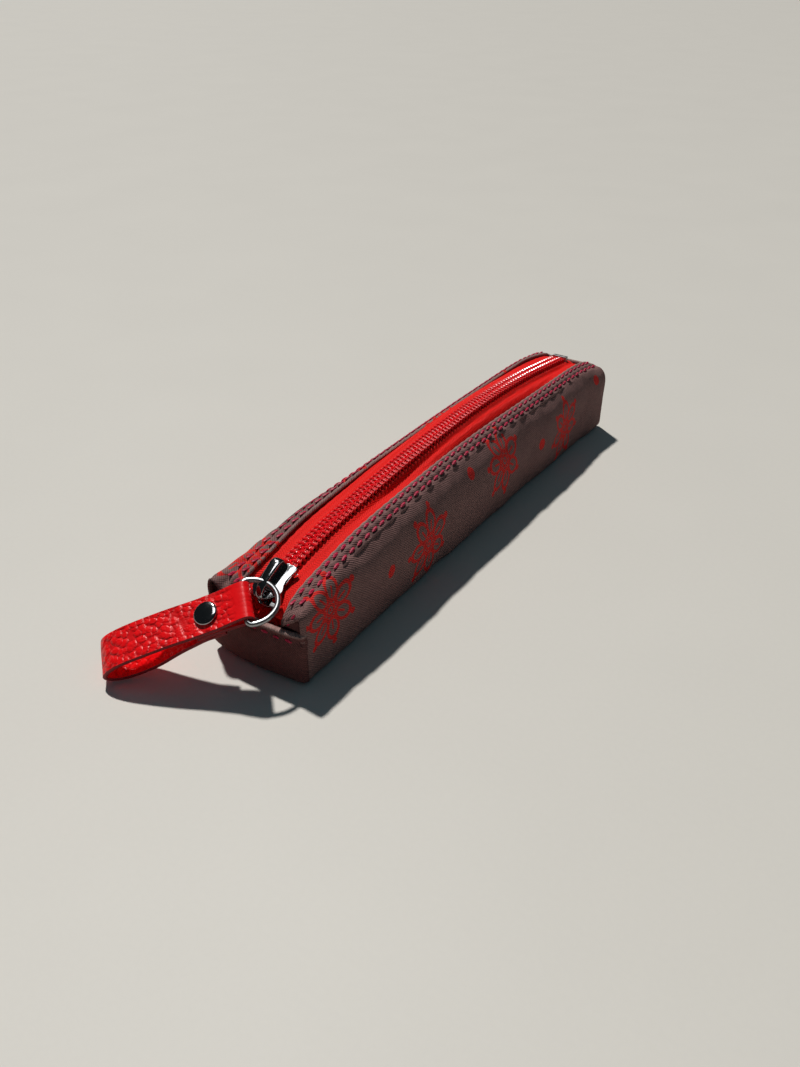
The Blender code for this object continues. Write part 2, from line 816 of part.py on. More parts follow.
def strap_loop(group, material, pivot, cutters):
    """One strip of leather, folded round the bar and looped back to the rivet."""
    shape = bmesh.new()
    row = [shape.verts.new((-STRAP_WIDTH / 2, along, face)) for along, face in strap_line()]
    edges = [shape.edges.new(pair) for pair in zip(row, row[1:])]
    swept = bmesh.ops.extrude_edge_only(shape, edges=edges)["geom"]
    moved = [item for item in swept if isinstance(item, bmesh.types.BMVert)]
    bmesh.ops.translate(shape, verts=moved, vec=(STRAP_WIDTH, 0, 0))
    bmesh.ops.recalc_face_normals(shape, faces=shape.faces)
    mesh = mesh_from("strap_loop", shape)
    frame = strap_frame()
    item = add_object("strap_loop", mesh, group, material, pivot, frame)
    leather = item.modifiers.new("leather", "SOLIDIFY")
    leather.thickness = LEATHER
    leather.offset = 0
    leather.use_even_offset = True
    hole_shape = bmesh.new()
    reach = LOOP_DEPTH
    bmesh.ops.create_cone(hole_shape, cap_ends=True, segments=ROUND_STEPS // 2,
                          radius1=SHANK_DIAMETER / 2 + SOCKET_WALL + 2 * RUNNING_GAP,
                          radius2=SHANK_DIAMETER / 2 + SOCKET_WALL + 2 * RUNNING_GAP,
                          depth=2 * reach)
    hole = add_object("rivet_hole", mesh_from("rivet_hole", hole_shape), cutters,
                      place=frame @ Matrix.Translation((0, RIVET_REACH, 0)))
    hide_helper(hole)
    boolean(item, hole, "DIFFERENCE")
    soften(mesh)
    return item


def rivet_place():
    return strap_frame() @ Matrix.Translation((0, RIVET_REACH, 0))


def rivet_faces():
    """Heights of the strap's front and back faces at the rivet."""
    ply = LEATHER + PLY_GAP
    return ply / 2 + LEATHER / 2, -1.5 * ply - LEATHER / 2


def rivet_cap(group, material, pivot):
    """Domed cap with its shank, seated on the front of the strap."""
    front, back = rivet_faces()
    base = front + RUNNING_GAP
    radius = CAP_DIAMETER / 2
    dome_steps = ROUND_STEPS // 4
    rim = CAP_HEIGHT * CAP_RIM_SHARE
    profile = [(0, base + CAP_HEIGHT)]
    for i in range(1, dome_steps + 1):
        angle = pi / 2 * i / dome_steps
        profile.append((radius * sin(angle), base + rim + (CAP_HEIGHT - rim) * cos(angle)))
    profile += [
        (radius * CAP_UNDERSIDE_SHARE, base),
        (SHANK_DIAMETER / 2, base),
        (SHANK_DIAMETER / 2, back - RUNNING_GAP),
        (0, back - RUNNING_GAP),
    ]
    return turned("rivet_cap", profile, group, material, rivet_place(), pivot)


def rivet_back(group, material, pivot):
    """Flat back of the rivet, whose socket closes over the shank."""
    front, back = rivet_faces()
    seat = back - RUNNING_GAP
    floor = seat - 2 * RUNNING_GAP
    bore = SHANK_DIAMETER / 2 + RUNNING_GAP
    socket_top = (front + back) / 2
    radius = BACK_DIAMETER / 2
    edge_reach, edge_drop = BACK_EDGE_SHARES
    profile = [
        (0, floor),
        (bore, floor),
        (bore, socket_top),
        (bore + SOCKET_WALL, socket_top),
        (bore + SOCKET_WALL, seat),
        (radius, seat),
        (radius, seat - BACK_HEIGHT * edge_drop),
        (radius * edge_reach, seat - BACK_HEIGHT),
        (0, seat - BACK_HEIGHT),
    ]
    return turned("rivet_back", profile, group, material, rivet_place(), pivot)


def zip_ends(side):
    """Ends of one half of the chain: the line between them is the axis it opens about."""
    front_x = parting(STOP_Y) + (TOOTH_REACH + CHAIN_HALF_WIDTH) / 2
    rear_x = (TOOTH_ROOT + CHAIN_HALF_WIDTH) / 2
    front = Vector((side * front_x, STOP_Y, chain_height(STOP_Y)))
    rear = Vector((side * rear_x, CHAIN_REAR_Y, chain_height(CHAIN_REAR_Y)))
    return front, rear


def zip_pivot(side, group):
    """Empty whose Y lies along the line that one half of the zip opens about."""
    front, rear = zip_ends(side)
    turn = (rear - front).to_track_quat("Y", "Z").to_matrix().to_4x4()
    name = "zip_right_pivot" if side > 0 else "zip_left_pivot"
    return add_pivot(name, Matrix.Translation(front) @ turn, group)


def centre_on_base():
    """Move everything so that the origin is the middle of the base."""
    bpy.context.view_layer.update()
    shift = Matrix.Translation((0, -CASE_LENGTH / 2, 0))
    for item in bpy.data.objects:
        if not item.parent:
            item.matrix_world = shift @ item.matrix_world
    bpy.context.view_layer.update()


def main():
    clear_scene()
    group = new_collection("pen_case")
    cutters = new_collection("pen_case_cutters")

    twill = finish("printed_twill", (0.13, 0.075, 0.068), 0.85, 0)
    plain = finish("plain_twill", (0.11, 0.062, 0.055), 0.88, 0)
    tape = finish("zip_tape_weave", (0.78, 0.03, 0.025), 0.70, 0)
    nylon = finish("zip_nylon", (0.62, 0.02, 0.03), 0.35, 0)
    steel = finish("bright_steel", (0.62, 0.62, 0.64), 0.22, 1)
    dark = finish("dark_nickel", (0.16, 0.16, 0.18), 0.18, 1)
    leather = finish("red_leather", (0.66, 0.010, 0.016), 0.45, 0)

    for side in (-1, 1):
        side_panel(side, group, twill)
    base_panel(group, plain)
    end_panel("front_end_panel", 0, 1, FRONT_END_HEIGHT, group, plain, cutters)
    end_panel("rear_end_panel", CASE_LENGTH, -1, REAR_END_HEIGHT, group, plain, cutters)

    for side in (-1, 1):
        pivot = zip_pivot(side, group)
        zip_tape(side, group, tape, pivot)
        zip_chain(side, group, nylon, pivot)
        top_stop(side, group, steel, pivot)
    end_stop(group, steel)

    arc_centre = Matrix.Translation((0, ARC_TOP_Y, ARC_TOP - ARC_RADIUS))
    slider_pivot = add_pivot("slider_pivot", arc_centre, group)
    slider_body(group, dark, slider_pivot, cutters)
    ring_pivot = add_pivot("ring_pivot", Matrix.Translation(eye_point()), group, slider_pivot)
    pull_ring(group, steel, ring_pivot)
    strap_pivot = add_pivot("strap_pivot", strap_frame(), group, ring_pivot)
    strap_loop(group, leather, strap_pivot, cutters)
    rivet_cap(group, dark, strap_pivot)
    rivet_back(group, dark, strap_pivot)
    centre_on_base()


if __name__ == "__main__":
    main()
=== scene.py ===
"""Looks of the pen case: sewn cloth, zip, slider, ring and leather pull on the packed frame.

Everything is in metres. Pieces are drawn with the case's front end at y = 0, and
keep_piece() moves them so that the middle of the base is the origin, as in the frame.
"""

import sys
import json
from math import atan2, ceil, cos, exp, pi, radians, sin, sqrt

import bmesh
import bpy
from mathutils import Matrix, Vector, noise
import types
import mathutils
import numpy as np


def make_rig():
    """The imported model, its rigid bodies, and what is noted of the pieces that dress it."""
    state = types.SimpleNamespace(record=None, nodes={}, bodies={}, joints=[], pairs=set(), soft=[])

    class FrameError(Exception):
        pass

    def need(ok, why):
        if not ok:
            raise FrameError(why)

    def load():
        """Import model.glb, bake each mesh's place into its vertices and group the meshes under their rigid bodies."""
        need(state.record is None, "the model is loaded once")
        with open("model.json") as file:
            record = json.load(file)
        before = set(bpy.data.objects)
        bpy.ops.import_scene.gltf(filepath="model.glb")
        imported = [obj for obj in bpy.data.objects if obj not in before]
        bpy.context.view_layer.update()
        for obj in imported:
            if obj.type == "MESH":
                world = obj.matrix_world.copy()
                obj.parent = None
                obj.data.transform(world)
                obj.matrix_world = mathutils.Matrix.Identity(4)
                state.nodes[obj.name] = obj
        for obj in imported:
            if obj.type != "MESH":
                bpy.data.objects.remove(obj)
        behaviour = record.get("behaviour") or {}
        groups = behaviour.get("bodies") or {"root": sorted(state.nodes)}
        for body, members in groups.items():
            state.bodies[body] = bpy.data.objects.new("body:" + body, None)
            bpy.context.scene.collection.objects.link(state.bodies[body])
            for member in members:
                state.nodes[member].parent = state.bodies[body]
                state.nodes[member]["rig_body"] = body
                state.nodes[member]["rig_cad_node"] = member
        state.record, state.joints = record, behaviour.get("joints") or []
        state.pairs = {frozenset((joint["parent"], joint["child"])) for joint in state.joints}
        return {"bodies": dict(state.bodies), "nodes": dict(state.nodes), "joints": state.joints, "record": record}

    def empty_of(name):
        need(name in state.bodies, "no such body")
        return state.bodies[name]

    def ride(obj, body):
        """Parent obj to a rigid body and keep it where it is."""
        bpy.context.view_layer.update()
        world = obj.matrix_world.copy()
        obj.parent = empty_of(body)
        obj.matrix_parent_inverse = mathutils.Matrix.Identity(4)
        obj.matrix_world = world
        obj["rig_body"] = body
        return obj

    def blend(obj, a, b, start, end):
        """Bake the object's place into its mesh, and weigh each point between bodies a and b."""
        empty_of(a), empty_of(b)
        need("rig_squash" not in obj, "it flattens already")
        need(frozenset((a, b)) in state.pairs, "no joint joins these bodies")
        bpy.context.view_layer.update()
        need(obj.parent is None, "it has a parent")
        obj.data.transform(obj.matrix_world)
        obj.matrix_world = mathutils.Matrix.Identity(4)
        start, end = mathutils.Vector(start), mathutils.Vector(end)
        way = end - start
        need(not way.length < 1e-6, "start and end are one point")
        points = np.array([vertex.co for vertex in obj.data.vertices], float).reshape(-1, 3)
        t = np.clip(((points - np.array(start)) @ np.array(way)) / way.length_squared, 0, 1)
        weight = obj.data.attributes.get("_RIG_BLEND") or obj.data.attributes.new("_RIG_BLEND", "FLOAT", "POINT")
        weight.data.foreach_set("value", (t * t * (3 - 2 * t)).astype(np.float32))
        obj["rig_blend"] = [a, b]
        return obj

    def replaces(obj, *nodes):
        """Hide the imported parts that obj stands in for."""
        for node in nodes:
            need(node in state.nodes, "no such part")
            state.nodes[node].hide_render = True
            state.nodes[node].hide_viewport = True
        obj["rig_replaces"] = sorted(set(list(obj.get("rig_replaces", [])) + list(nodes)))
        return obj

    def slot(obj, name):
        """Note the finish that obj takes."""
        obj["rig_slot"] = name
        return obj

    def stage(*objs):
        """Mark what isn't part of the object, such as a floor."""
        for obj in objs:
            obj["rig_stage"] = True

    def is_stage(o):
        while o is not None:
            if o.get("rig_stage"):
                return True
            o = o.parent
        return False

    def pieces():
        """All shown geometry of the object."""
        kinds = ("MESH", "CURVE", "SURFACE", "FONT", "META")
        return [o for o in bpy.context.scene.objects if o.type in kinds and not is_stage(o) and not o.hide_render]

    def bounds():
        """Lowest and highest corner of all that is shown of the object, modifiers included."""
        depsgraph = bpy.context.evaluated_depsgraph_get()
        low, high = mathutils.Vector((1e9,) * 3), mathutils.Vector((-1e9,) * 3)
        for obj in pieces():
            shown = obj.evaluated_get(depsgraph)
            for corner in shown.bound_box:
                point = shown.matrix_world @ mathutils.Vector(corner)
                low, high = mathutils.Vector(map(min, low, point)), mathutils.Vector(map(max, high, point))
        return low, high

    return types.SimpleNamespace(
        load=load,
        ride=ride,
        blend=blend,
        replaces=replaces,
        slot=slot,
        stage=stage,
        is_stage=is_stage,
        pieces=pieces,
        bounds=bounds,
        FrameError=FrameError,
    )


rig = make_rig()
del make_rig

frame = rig.load()

bl_info = {
    "name": "Pen case",
    "version": (1, 0, 0),
    "blender": (4, 5, 0),
    "location": "3D View > Sidebar > Pen case",
    "description": "Builds the cloth, zip, slider and leather pull of a slim pen case",
    "category": "Object",
}

# Cloth shell, as in the frame
LENGTH = 0.200
HALF_WIDTH = 0.017
MIDDLE_BASE_HALF = 0.0156
EAR_HEIGHT = 0.0250
MIDDLE_SHOULDER_HEIGHT = 0.0290
SHOULDER_ROUNDING = 0.0080
EAR_ROUNDING = 0.0034
BELLY = 0.0010
END_REACH = 0.0240
HALF_MOUTH = 0.0087
HEM_HEIGHT = 0.0308
FRONT_HEM_DROP = 0.0080
FRONT_HEM_REACH = 0.0120
REAR_HEM_DROP = 0.0042
REAR_HEM_REACH = 0.0080
FRONT_END_HEIGHT = 0.0176
REAR_END_HEIGHT = 0.0262

# Cloth details of the looks alone. A side's hem band, with its stitches, is finely meshed.
HEM_BAND = 0.0072
SIDE_SPAN = 0.0360
END_FOLD = 0.0009
END_HEM_RETURN = 0.0035
END_BAND = 0.0060
END_STITCH_ROW = 0.0030
END_GAP = 0.0002
REAR_CROWN = 0.0007
FIRST_STITCH = 0.0022
ROW_SHIFT = 0.22
FRONT_SLACK = 0.0032
SLIDER_SLACK = 0.0015
EAR_BOTTOM = 0.0180
EAR_STITCHES = ((0.0128, 0.0218), (0.0112, 0.0197))
BASE_INSET = 0.0030
# Where the tapes' rear ends tuck in behind the end's hem, and how low
TUCK_START = 0.0062
TUCK_REACH = 0.0044
TUCK_HEIGHT = 0.0248

# Zip, as in the frame
ARC_TOP = 0.0354
ARC_TOP_RUN = 0.112
ARC_RADIUS = 0.50021
FRONT_DIP = 0.0030
FRONT_DIP_REACH = 0.0200
CHAIN_START = 0.0042
CHAIN_END = 0.1900
TOOTH_PITCH = 0.0019
PARTING = 0.0029
SLIDER_RUN = 0.0095
SLIDER_LENGTH = 0.0127
PLATE_TOP = 0.00245
PLATE_THICKNESS = 0.0010
END_STOP_RUN = 0.1914
# Where the tapes end beside the teeth, in the looks alone
TAPE_FOOT = 0.0033
OPENING_SHARE = 0.467
# The same from "ring" to "pull", for the strap and its rivet: they turn 0.30 of the pull's angle
SWING_SHARE = 0.36
# Distance to the start of such a blend, so great that a whole piece turns alike
FAR = 10.0

# Ring and leather pull, as in the frame
WIRE = 0.0014
RING_HALF = 0.0070
RING_DEPTH = 0.0090
RING_CORNER = 0.0015
BAR_DIRECTION = Vector((0.664, -0.631, -0.402))
RING_DIRECTION = Vector((0.707, 0.705, 0.0615))
EYE_ANGLE = 0.64
EYE_FORWARD = 0.0037
EYE_RISE = 0.00165
PULL_DROOP = 0.352
LEATHER = 0.0013
PLY_GAP = 0.0003
PULL_LENGTH = 0.0450
LOOP_DEPTH = 0.0072
RIVET_REACH = 0.0108
CAP_RADIUS = 0.0035


def metres(name, description, default):
    return bpy.props.FloatProperty(
        name=name, description=description, default=default, unit="LENGTH", precision=5)


def paint_colour(name, description, default):
    return bpy.props.FloatVectorProperty(
        name=name, description=description, default=default, subtype="COLOR",
        min=0, max=1)


class ClothSizes(bpy.types.PropertyGroup):
    """Sizes of the sewn cloth and its stitches."""

    cloth: metres("Cloth", "Thickness of one layer of cloth", 0.0007)
    fold_radius: metres("Fold radius", "Radius of the folded edge beside the zip", 0.00080)
    hem_return: metres("Hem return", "Cloth folded under at the hem", 0.0050)
    first_row: metres("First row", "First row of stitches, from the folded edge", 0.0021)
    second_row: metres("Second row", "Second row of stitches, from the folded edge", 0.0047)
    stitch_pitch: metres("Stitch pitch", "From one stitch to the next", 0.0039)
    stitch_length: metres("Stitch length", "Thread that shows in one stitch", 0.0031)
    thread: metres("Thread", "Thickness of the sewing thread", 0.00105)
    pucker: metres("Pucker", "Height of the puckers along the stitches", 0.00036)
    dent: metres("Dent", "Height of the soft dents in the sides", 0.00060)
    rounding: metres("Corner rounding", "Radius of the cloth at corner seams", 0.0013)
    foot: metres("Foot rounding", "Radius of the sides where they turn under", 0.0024)
    front_crown: metres("Front crown", "How far the front end bulges", 0.0017)


class ZipSizes(bpy.types.PropertyGroup):
    """Sizes of the tapes and the nylon teeth."""

    tape: metres("Tape", "Thickness of the woven tape", 0.0006)
    wire: metres("Tooth wire", "Thickness of the nylon in a tooth", 0.00076)
    tooth_rise: metres("Tooth rise", "Half the height of a tooth", 0.00085)
    tooth_root: metres("Tooth root", "Outer end of a tooth, from the middle", 0.00285)
    tooth_reach: metres("Tooth reach", "How far a head reaches past the middle", 0.00070)


class PullSizes(bpy.types.PropertyGroup):
    """Sizes of the slider's casting and the leather."""

    edge: metres("Slider edge", "Bevel on the edges of the slider", 0.00022)
    bridge: metres("Bridge", "Thickness of the bridge over the slider", 0.0012)
    strap_width: metres("Strap width", "Width of the leather strap", 0.0115)
    crease: metres("Crease", "Depth of the creases where the leather folds", 0.00012)
    cap_height: metres("Cap height", "Height of the rivet's cap", 0.0014)


class Finishes(bpy.types.PropertyGroup):
    """Colours of the pen case."""

    twill: paint_colour("Twill", "Brown-mauve cotton twill", (0.315, 0.172, 0.158))
    # Painted shade: the twill's colour in the grooves between its ribs.
    twill_deep: paint_colour("Twill shade", "Twill between its ribs", (0.122, 0.058, 0.054))
    plain: paint_colour(
        "Plain twill", "Plain cloth of the ends and the base", (0.190, 0.072, 0.066))
    # Painted shade: the plain cloth's colour in the grooves between its ribs.
    plain_deep: paint_colour("Plain shade", "Plain cloth between its ribs", (0.066, 0.020, 0.019))
    print_red: paint_colour("Print", "Red line print on the sides", (0.72, 0.014, 0.010))
    tape_red: paint_colour("Tape", "Woven zip tape", (1.0, 0.012, 0.008))
    nylon: paint_colour("Nylon", "Zip teeth", (1.0, 0.012, 0.020))
    thread: paint_colour("Thread", "Crimson sewing thread", (0.60, 0.007, 0.060))
    leather: paint_colour("Leather", "Red leather of the pull", (1.0, 0.005, 0.008))
    leather_edge: paint_colour("Leather edge", "Cut edge of the leather", (0.30, 0.006, 0.010))
    gunmetal: paint_colour("Gunmetal", "Slider and rivet", (0.40, 0.41, 0.42))
    steel: paint_colour("Steel", "Ring and stops", (0.40, 0.41, 0.42))
    table: paint_colour("Table", "Pale table top", (0.62, 0.585, 0.535))


class StageSizes(bpy.types.PropertyGroup):
    """Lamps and the table."""

    sun: bpy.props.FloatProperty(
        name="Sun", description="Strength of the main lamp", default=3.35, min=0)
    fill: bpy.props.FloatProperty(
        name="Fill", description="Level of the light from all round", default=0.080, min=0)
    softbox: bpy.props.FloatProperty(
        name="Softbox", description="Power of the soft lamp that the metal mirrors",
        default=1.3, min=0, unit="POWER")
    table_half: metres("Table", "Half the width of the table top", 4.0)


def ease(share):
    """0 up to 0, 1 from 1, and smooth between."""
    share = min(1, max(0, share))
    return share * share * (3 - 2 * share)


def mix(start, end, share):
    return start + (end - start) * share


def bump(value, middle, reach):
    """1 at the middle, fading to 0 on both sides."""
    return exp(-((value - middle) / reach) ** 2)


def smooth_line(points, steps):
    """Points on a smooth curve through the given points."""
    line = []
    for i in range(len(points) - 1):
        before = Vector(points[max(i - 1, 0)])
        start, end = Vector(points[i]), Vector(points[i + 1])
        after = Vector(points[min(i + 2, len(points) - 1)])
        for k in range(steps):
            t = k / steps
            line.append(0.5 * (2 * start + (end - before) * t
                               + (2 * before - 5 * start + 4 * end - after) * t * t
                               + (3 * start - before - 3 * end + after) * t**3))
    line.append(Vector(points[-1]))
    return line


def even_line(points, targets):
    """Points at the given distances along a line."""
    found, gone, i = [], 0, 0
    for target in targets:
        while i < len(points) - 2 and gone + (points[i + 1] - points[i]).length < target:
            gone += (points[i + 1] - points[i]).length
            i += 1
        piece = points[i + 1] - points[i]
        share = (target - gone) / max(piece.length, 1e-9)
        found.append(points[i] + piece * share)
    return found


def length_of(points):
    return sum((b - a).length for a, b in zip(points, points[1:]))


# Materials


class Amount:
    """A value in a material, whose arithmetic adds Math nodes."""

    def __init__(self, paint, socket):
        self.paint, self.socket = paint, socket

    def __add__(self, other):
        return self.paint.math("ADD", self, other)

    def __sub__(self, other):
        return self.paint.math("SUBTRACT", self, other)

    def __rsub__(self, other):
        return self.paint.math("SUBTRACT", other, self)

    def __mul__(self, other):
        return self.paint.math("MULTIPLY", self, other)

    def __truediv__(self, other):
        return self.paint.math("DIVIDE", self, other)

    def __rtruediv__(self, other):
        return self.paint.math("DIVIDE", other, self)

    def __pow__(self, other):
        return self.paint.math("POWER", self, other)

    __radd__ = __add__
    __rmul__ = __mul__


class Paint:
    """One material, built node by node on its Principled shader."""

    def __init__(self, name, constants):
        self.material = bpy.data.materials.new(name)
        self.material.use_nodes = True
        self.tree = self.material.node_tree
        self.shader = self.tree.nodes["Principled BSDF"]
        self.set(constants)

    def set(self, sockets):
        """Values or links for the shader's own sockets."""
        for key, value in sockets.items():
            self.feed(self.shader.inputs[key], value)
        return self.material

    def feed(self, socket, value):
        if isinstance(value, Amount):
            self.tree.links.new(value.socket, socket)
        elif hasattr(value, "__len__") and len(value) == 3 and socket.type == "RGBA":
            socket.default_value = (*value, 1)
        else:
            socket.default_value = value

    def node(self, kind, settings=(), sockets=(), out=0):
        """Any node: its type, its settings, then the values or links of its sockets."""
        made = self.tree.nodes.new("ShaderNode" + kind)
        for key, value in dict(settings).items():
            setattr(made, key, value)
        for key, value in dict(sockets).items():
            self.feed(made.inputs[key], value)
        return Amount(self, made.outputs[out])

    def math(self, operation, *values):
        return self.node("Math", {"operation": operation}, enumerate(values))

    def step(self, value, low, high):
        """0 below low, 1 above high, and smooth between."""
        return self.node(
            "MapRange", {"interpolation_type": "SMOOTHSTEP"},
            {"Value": value, "From Min": low, "From Max": high})

    def between(self, factor, first, second):
        """Mix of two colours."""
        return self.node("Mix", {"data_type": "RGBA"}, {0: factor, 6: first, 7: second}, 2)

    def times(self, colour, value):
        return self.node("VectorMath", {"operation": "SCALE"}, {0: colour, "Scale": value})

    def vector(self, x, y, z=0.0):
        return self.node("CombineXYZ", {}, {0: x, 1: y, 2: z})

    def parts(self, vector):
        return [self.node("SeparateXYZ", {}, {0: vector}, i) for i in (0, 1)]

    def cloth_map(self):
        """Distances along and across the cloth."""
        return self.parts(self.node("UVMap", {"uv_map": "cloth"}))

    def solid(self):
        return self.node("TexCoord", {}, {}, 3)

    def noise(self, size, detail=2.0, vector=None, roughness=0.5):
        return self.node("TexNoise", {}, {
            "Vector": vector or self.solid(), "Scale": 1 / size, "Detail": detail,
            "Roughness": roughness})

    def cells(self, size, vector=None, randomness=1.0):
        return self.node("TexVoronoi", {}, {
            "Vector": vector or self.solid(), "Scale": 1 / size,
            "Randomness": randomness})

    def relief(self, height, depth, strength=1.0, below=None):
        """A bump of the given real depth, on top of another one."""
        sockets = {"Height": height, "Distance": depth, "Strength": strength}
        if below:
            sockets["Normal"] = below
        return self.node("Bump", {}, sockets)


_materials = {}


def finish(name):
    """The material of that name, made once."""
    if name not in _materials:
        _materials[name] = globals()["paint_" + name](bpy.context.scene.finishes)
    return _materials[name]


def twill_weave(paint, along, across):
    """Height of the diagonal ribs, broken into threads."""
    wander = (paint.noise(0.0030, 2) - 0.5) * 0.0003
    rib = paint.math("SINE", (across - along * 0.85 + wander) * (2 * pi / 0.00078))
    thread = paint.math("SINE", (across * 0.6 + along + wander) * (2 * pi / 0.00056))
    return rib * 0.36 + thread * 0.14 + 0.5


def twill_cloth(paint, along, across, light, deep, worn_share=0.80):
    """Colour and relief of the twill, with painted shade between its ribs, and a little paler at its fold: partly
    wear, partly a painted highlight on the folded edge.
    """
    height = twill_weave(paint, along, across)
    patch = paint.noise(0.009, 4, roughness=0.6)
    slub = paint.noise(0.0010, 3)
    # Darker where the ribs dip: painted shade, mixed with random patches and slubs.
    shade = height * 0.62 + patch * 0.40 + slub * 0.50 - 0.30
    colour = paint.between(shade, deep, light)
    # Paler along the fold: partly wear, partly a painted highlight on the folded edge.
    worn = paint.step(paint.math("ABSOLUTE", across - 0.0005), 0.0013, 0.0002)
    lighter = paint.between(worn * slub * worn_share, colour, (0.440, 0.280, 0.250))
    relief = paint.relief(height, 0.00016, 0.9)
    return lighter, paint.relief(slub, 0.00014, 0.6, relief)


def daisy(paint, x, y, petals, reach, half_long, half_wide, line):
    """Outlined petals about a ringed middle, from one pair of coordinates."""
    from_middle = paint.math("SQRT", x * x + y * y)
    turn = paint.math("ARCTAN2", y, x) * (petals / (2 * pi))
    angle = (paint.math("FRACT", turn + 8.0) - 0.5) * (2 * pi / petals)
    out = from_middle * paint.math("COSINE", angle)
    aside = from_middle * paint.math("SINE", angle)
    oval = paint.math("SQRT", ((out - reach) / half_long) ** 2
                      + (paint.math("ABSOLUTE", aside) / half_wide) ** 2)
    edge = paint.math("ABSOLUTE", oval - 1.0) * half_wide
    outline = paint.step(edge, line * 0.62, line * 0.38)
    vein = paint.step(paint.math("ABSOLUTE", aside), line * 0.45, line * 0.20) \
        * paint.step(paint.math("ABSOLUTE", out - reach * 0.86), half_long * 0.50, half_long * 0.42)
    ring = paint.step(paint.math("ABSOLUTE", from_middle - reach * 0.26), line * 0.62, line * 0.38)
    seed = paint.step(from_middle, reach * 0.12, reach * 0.07)
    tip = paint.math("SQRT", (out - (reach + half_long * 1.42)) ** 2 + aside * aside)
    bead = paint.step(tip, line * 1.15, line * 0.85)
    both = paint.math("MAXIMUM", outline, vein)
    middle = paint.math("MAXIMUM", ring, seed)
    return paint.math("MAXIMUM", paint.math("MAXIMUM", both, middle), bead)


def scattered_print(paint, along, across):
    """Mask of the print: daisies in a line that sways, with plain dots between them."""
    pitch, shift, left = 0.050, 0.0125, paint.math("GREATER_THAN", along, 0.25)
    spread = (along + shift) / pitch
    column = paint.math("FLOOR", spread)
    odd = paint.math("MODULO", column, 2.0)
    chance = paint.node("TexWhiteNoise", {"noise_dimensions": "1D"}, {"W": column}, 0)
    fuzz = (paint.noise(0.0007, 2) - 0.5) * 0.00045
    x = (spread - column - 0.5) * pitch + fuzz
    y = across - (odd * 0.0060 + 0.0140 - left * 0.0085) + fuzz
    turn = chance * 6.0
    cosine, sine = paint.math("COSINE", turn), paint.math("SINE", turn)
    mask = daisy(paint, x * cosine - y * sine, x * sine + y * cosine,
                 7, 0.0062, 0.0034, 0.00235, 0.00095)
    nearest = paint.math("ROUND", spread)
    dot_x = (spread - nearest) * pitch + (fuzz - 0.004)
    dot_y = across - (0.0105 + paint.math("MODULO", nearest, 2.0) * 0.0080) + fuzz
    dot = paint.step(dot_x * dot_x + dot_y * dot_y, 0.00205**2, 0.00175**2)
    seam = paint.math("EXPONENT", ((across - 0.0045) / 0.0028) ** 2 * -1.0) * 0.0030 + 0.0014
    run = along - left * 0.3
    printed = paint.math("GREATER_THAN", run, seam)
    return paint.math("MAXIMUM", mask, dot) * printed


def paint_printed_twill(colours):
    paint = Paint("printed_twill", {"Specular IOR Level": 0.18})
    along, across = paint.cloth_map()
    base, relief = twill_cloth(paint, along, across, colours.twill, colours.twill_deep)
    mask = scattered_print(paint, along, across)
    weave = twill_weave(paint, along, across)
    # The ink is darker where the ribs dip: painted shade.
    ink = paint.times(colours.print_red, weave * 0.40 + 0.75)
    thin = paint.step(paint.noise(0.0009, 3), 0.22, 0.45)
    colour = paint.between(mask * (thin * 0.24 + 0.72), base, ink)
    return paint.set({"Base Color": colour, "Roughness": 0.86 - mask * 0.10,
                      "Normal": relief})


def paint_plain_twill(colours):
    paint = Paint("plain_twill", {"Specular IOR Level": 0.18})
    along, across = paint.cloth_map()
    # Painted shade between the ribs, and a stronger paler fold on the ends' rolled hems: partly wear, partly painted
    # highlight.
    base, relief = twill_cloth(paint, along, across, colours.plain, colours.plain_deep, 1.5)
    return paint.set({"Base Color": base, "Roughness": 0.88, "Normal": relief})


def paint_lining(colours):
    """Inside of the cloth."""
    paint = Paint("lining", {"Roughness": 0.9, "Specular IOR Level": 0.2})
    height = paint.cells(0.0007)
    # Darker in the hollows of the cell relief: painted shade.
    colour = paint.between(height, colours.twill_deep, colours.twill)
    return paint.set({"Base Color": paint.times(colour, 0.55),
                      "Normal": paint.relief(height, 0.0001, 0.6)})


def paint_tape_weave(colours):
    """Herringbone: slanting ribs that change direction from stripe to stripe, with painted shade in the grooves and
    painted highlights on the crests.
    """
    paint = Paint("tape_weave", {"Specular IOR Level": 0.10})
    along, across = paint.cloth_map()
    stripe = paint.math("PINGPONG", across, 0.00110)
    wander = (paint.noise(0.0016, 2) - 0.5) * 0.00030
    rib = paint.math("SINE", (along + stripe * 1.1 + wander) * (2 * pi / 0.00086))
    knot = paint.cells(0.00048)
    height = rib * 0.30 - knot * 0.34 + 0.62
    # Darker where the weave dips: painted shade, mixed with random noise.
    tone = height * 0.70 + paint.noise(0.009, 3) * 0.30
    colour = paint.between(tone, paint_scaled(colours.tape_red, 0.64), colours.tape_red)
    # Paler on the highest crests: painted highlight.
    bright = paint.between(paint.step(height, 0.70, 0.95) * 0.16, colour, (1.0, 0.13, 0.08))
    return paint.set({"Base Color": bright, "Roughness": 0.66 - height * 0.12,
                      "Normal": paint.relief(height, 0.00022, 0.9)})


def paint_scaled(colour, share):
    return [channel * share for channel in colour]


def paint_nylon(colours):
    """Glossy nylon, a little cloudy."""
    paint = Paint("nylon", {"Roughness": 0.20, "Coat Weight": 0.10,
                            "Coat Roughness": 0.10, "IOR": 1.50})
    cloud = paint.noise(0.0012, 2)
    colour = paint.between(cloud, paint_scaled(colours.nylon, 0.88), colours.nylon)
    return paint.set({"Base Color": colour,
                      "Normal": paint.relief(paint.noise(0.0005, 2), 0.00003, 0.5)})


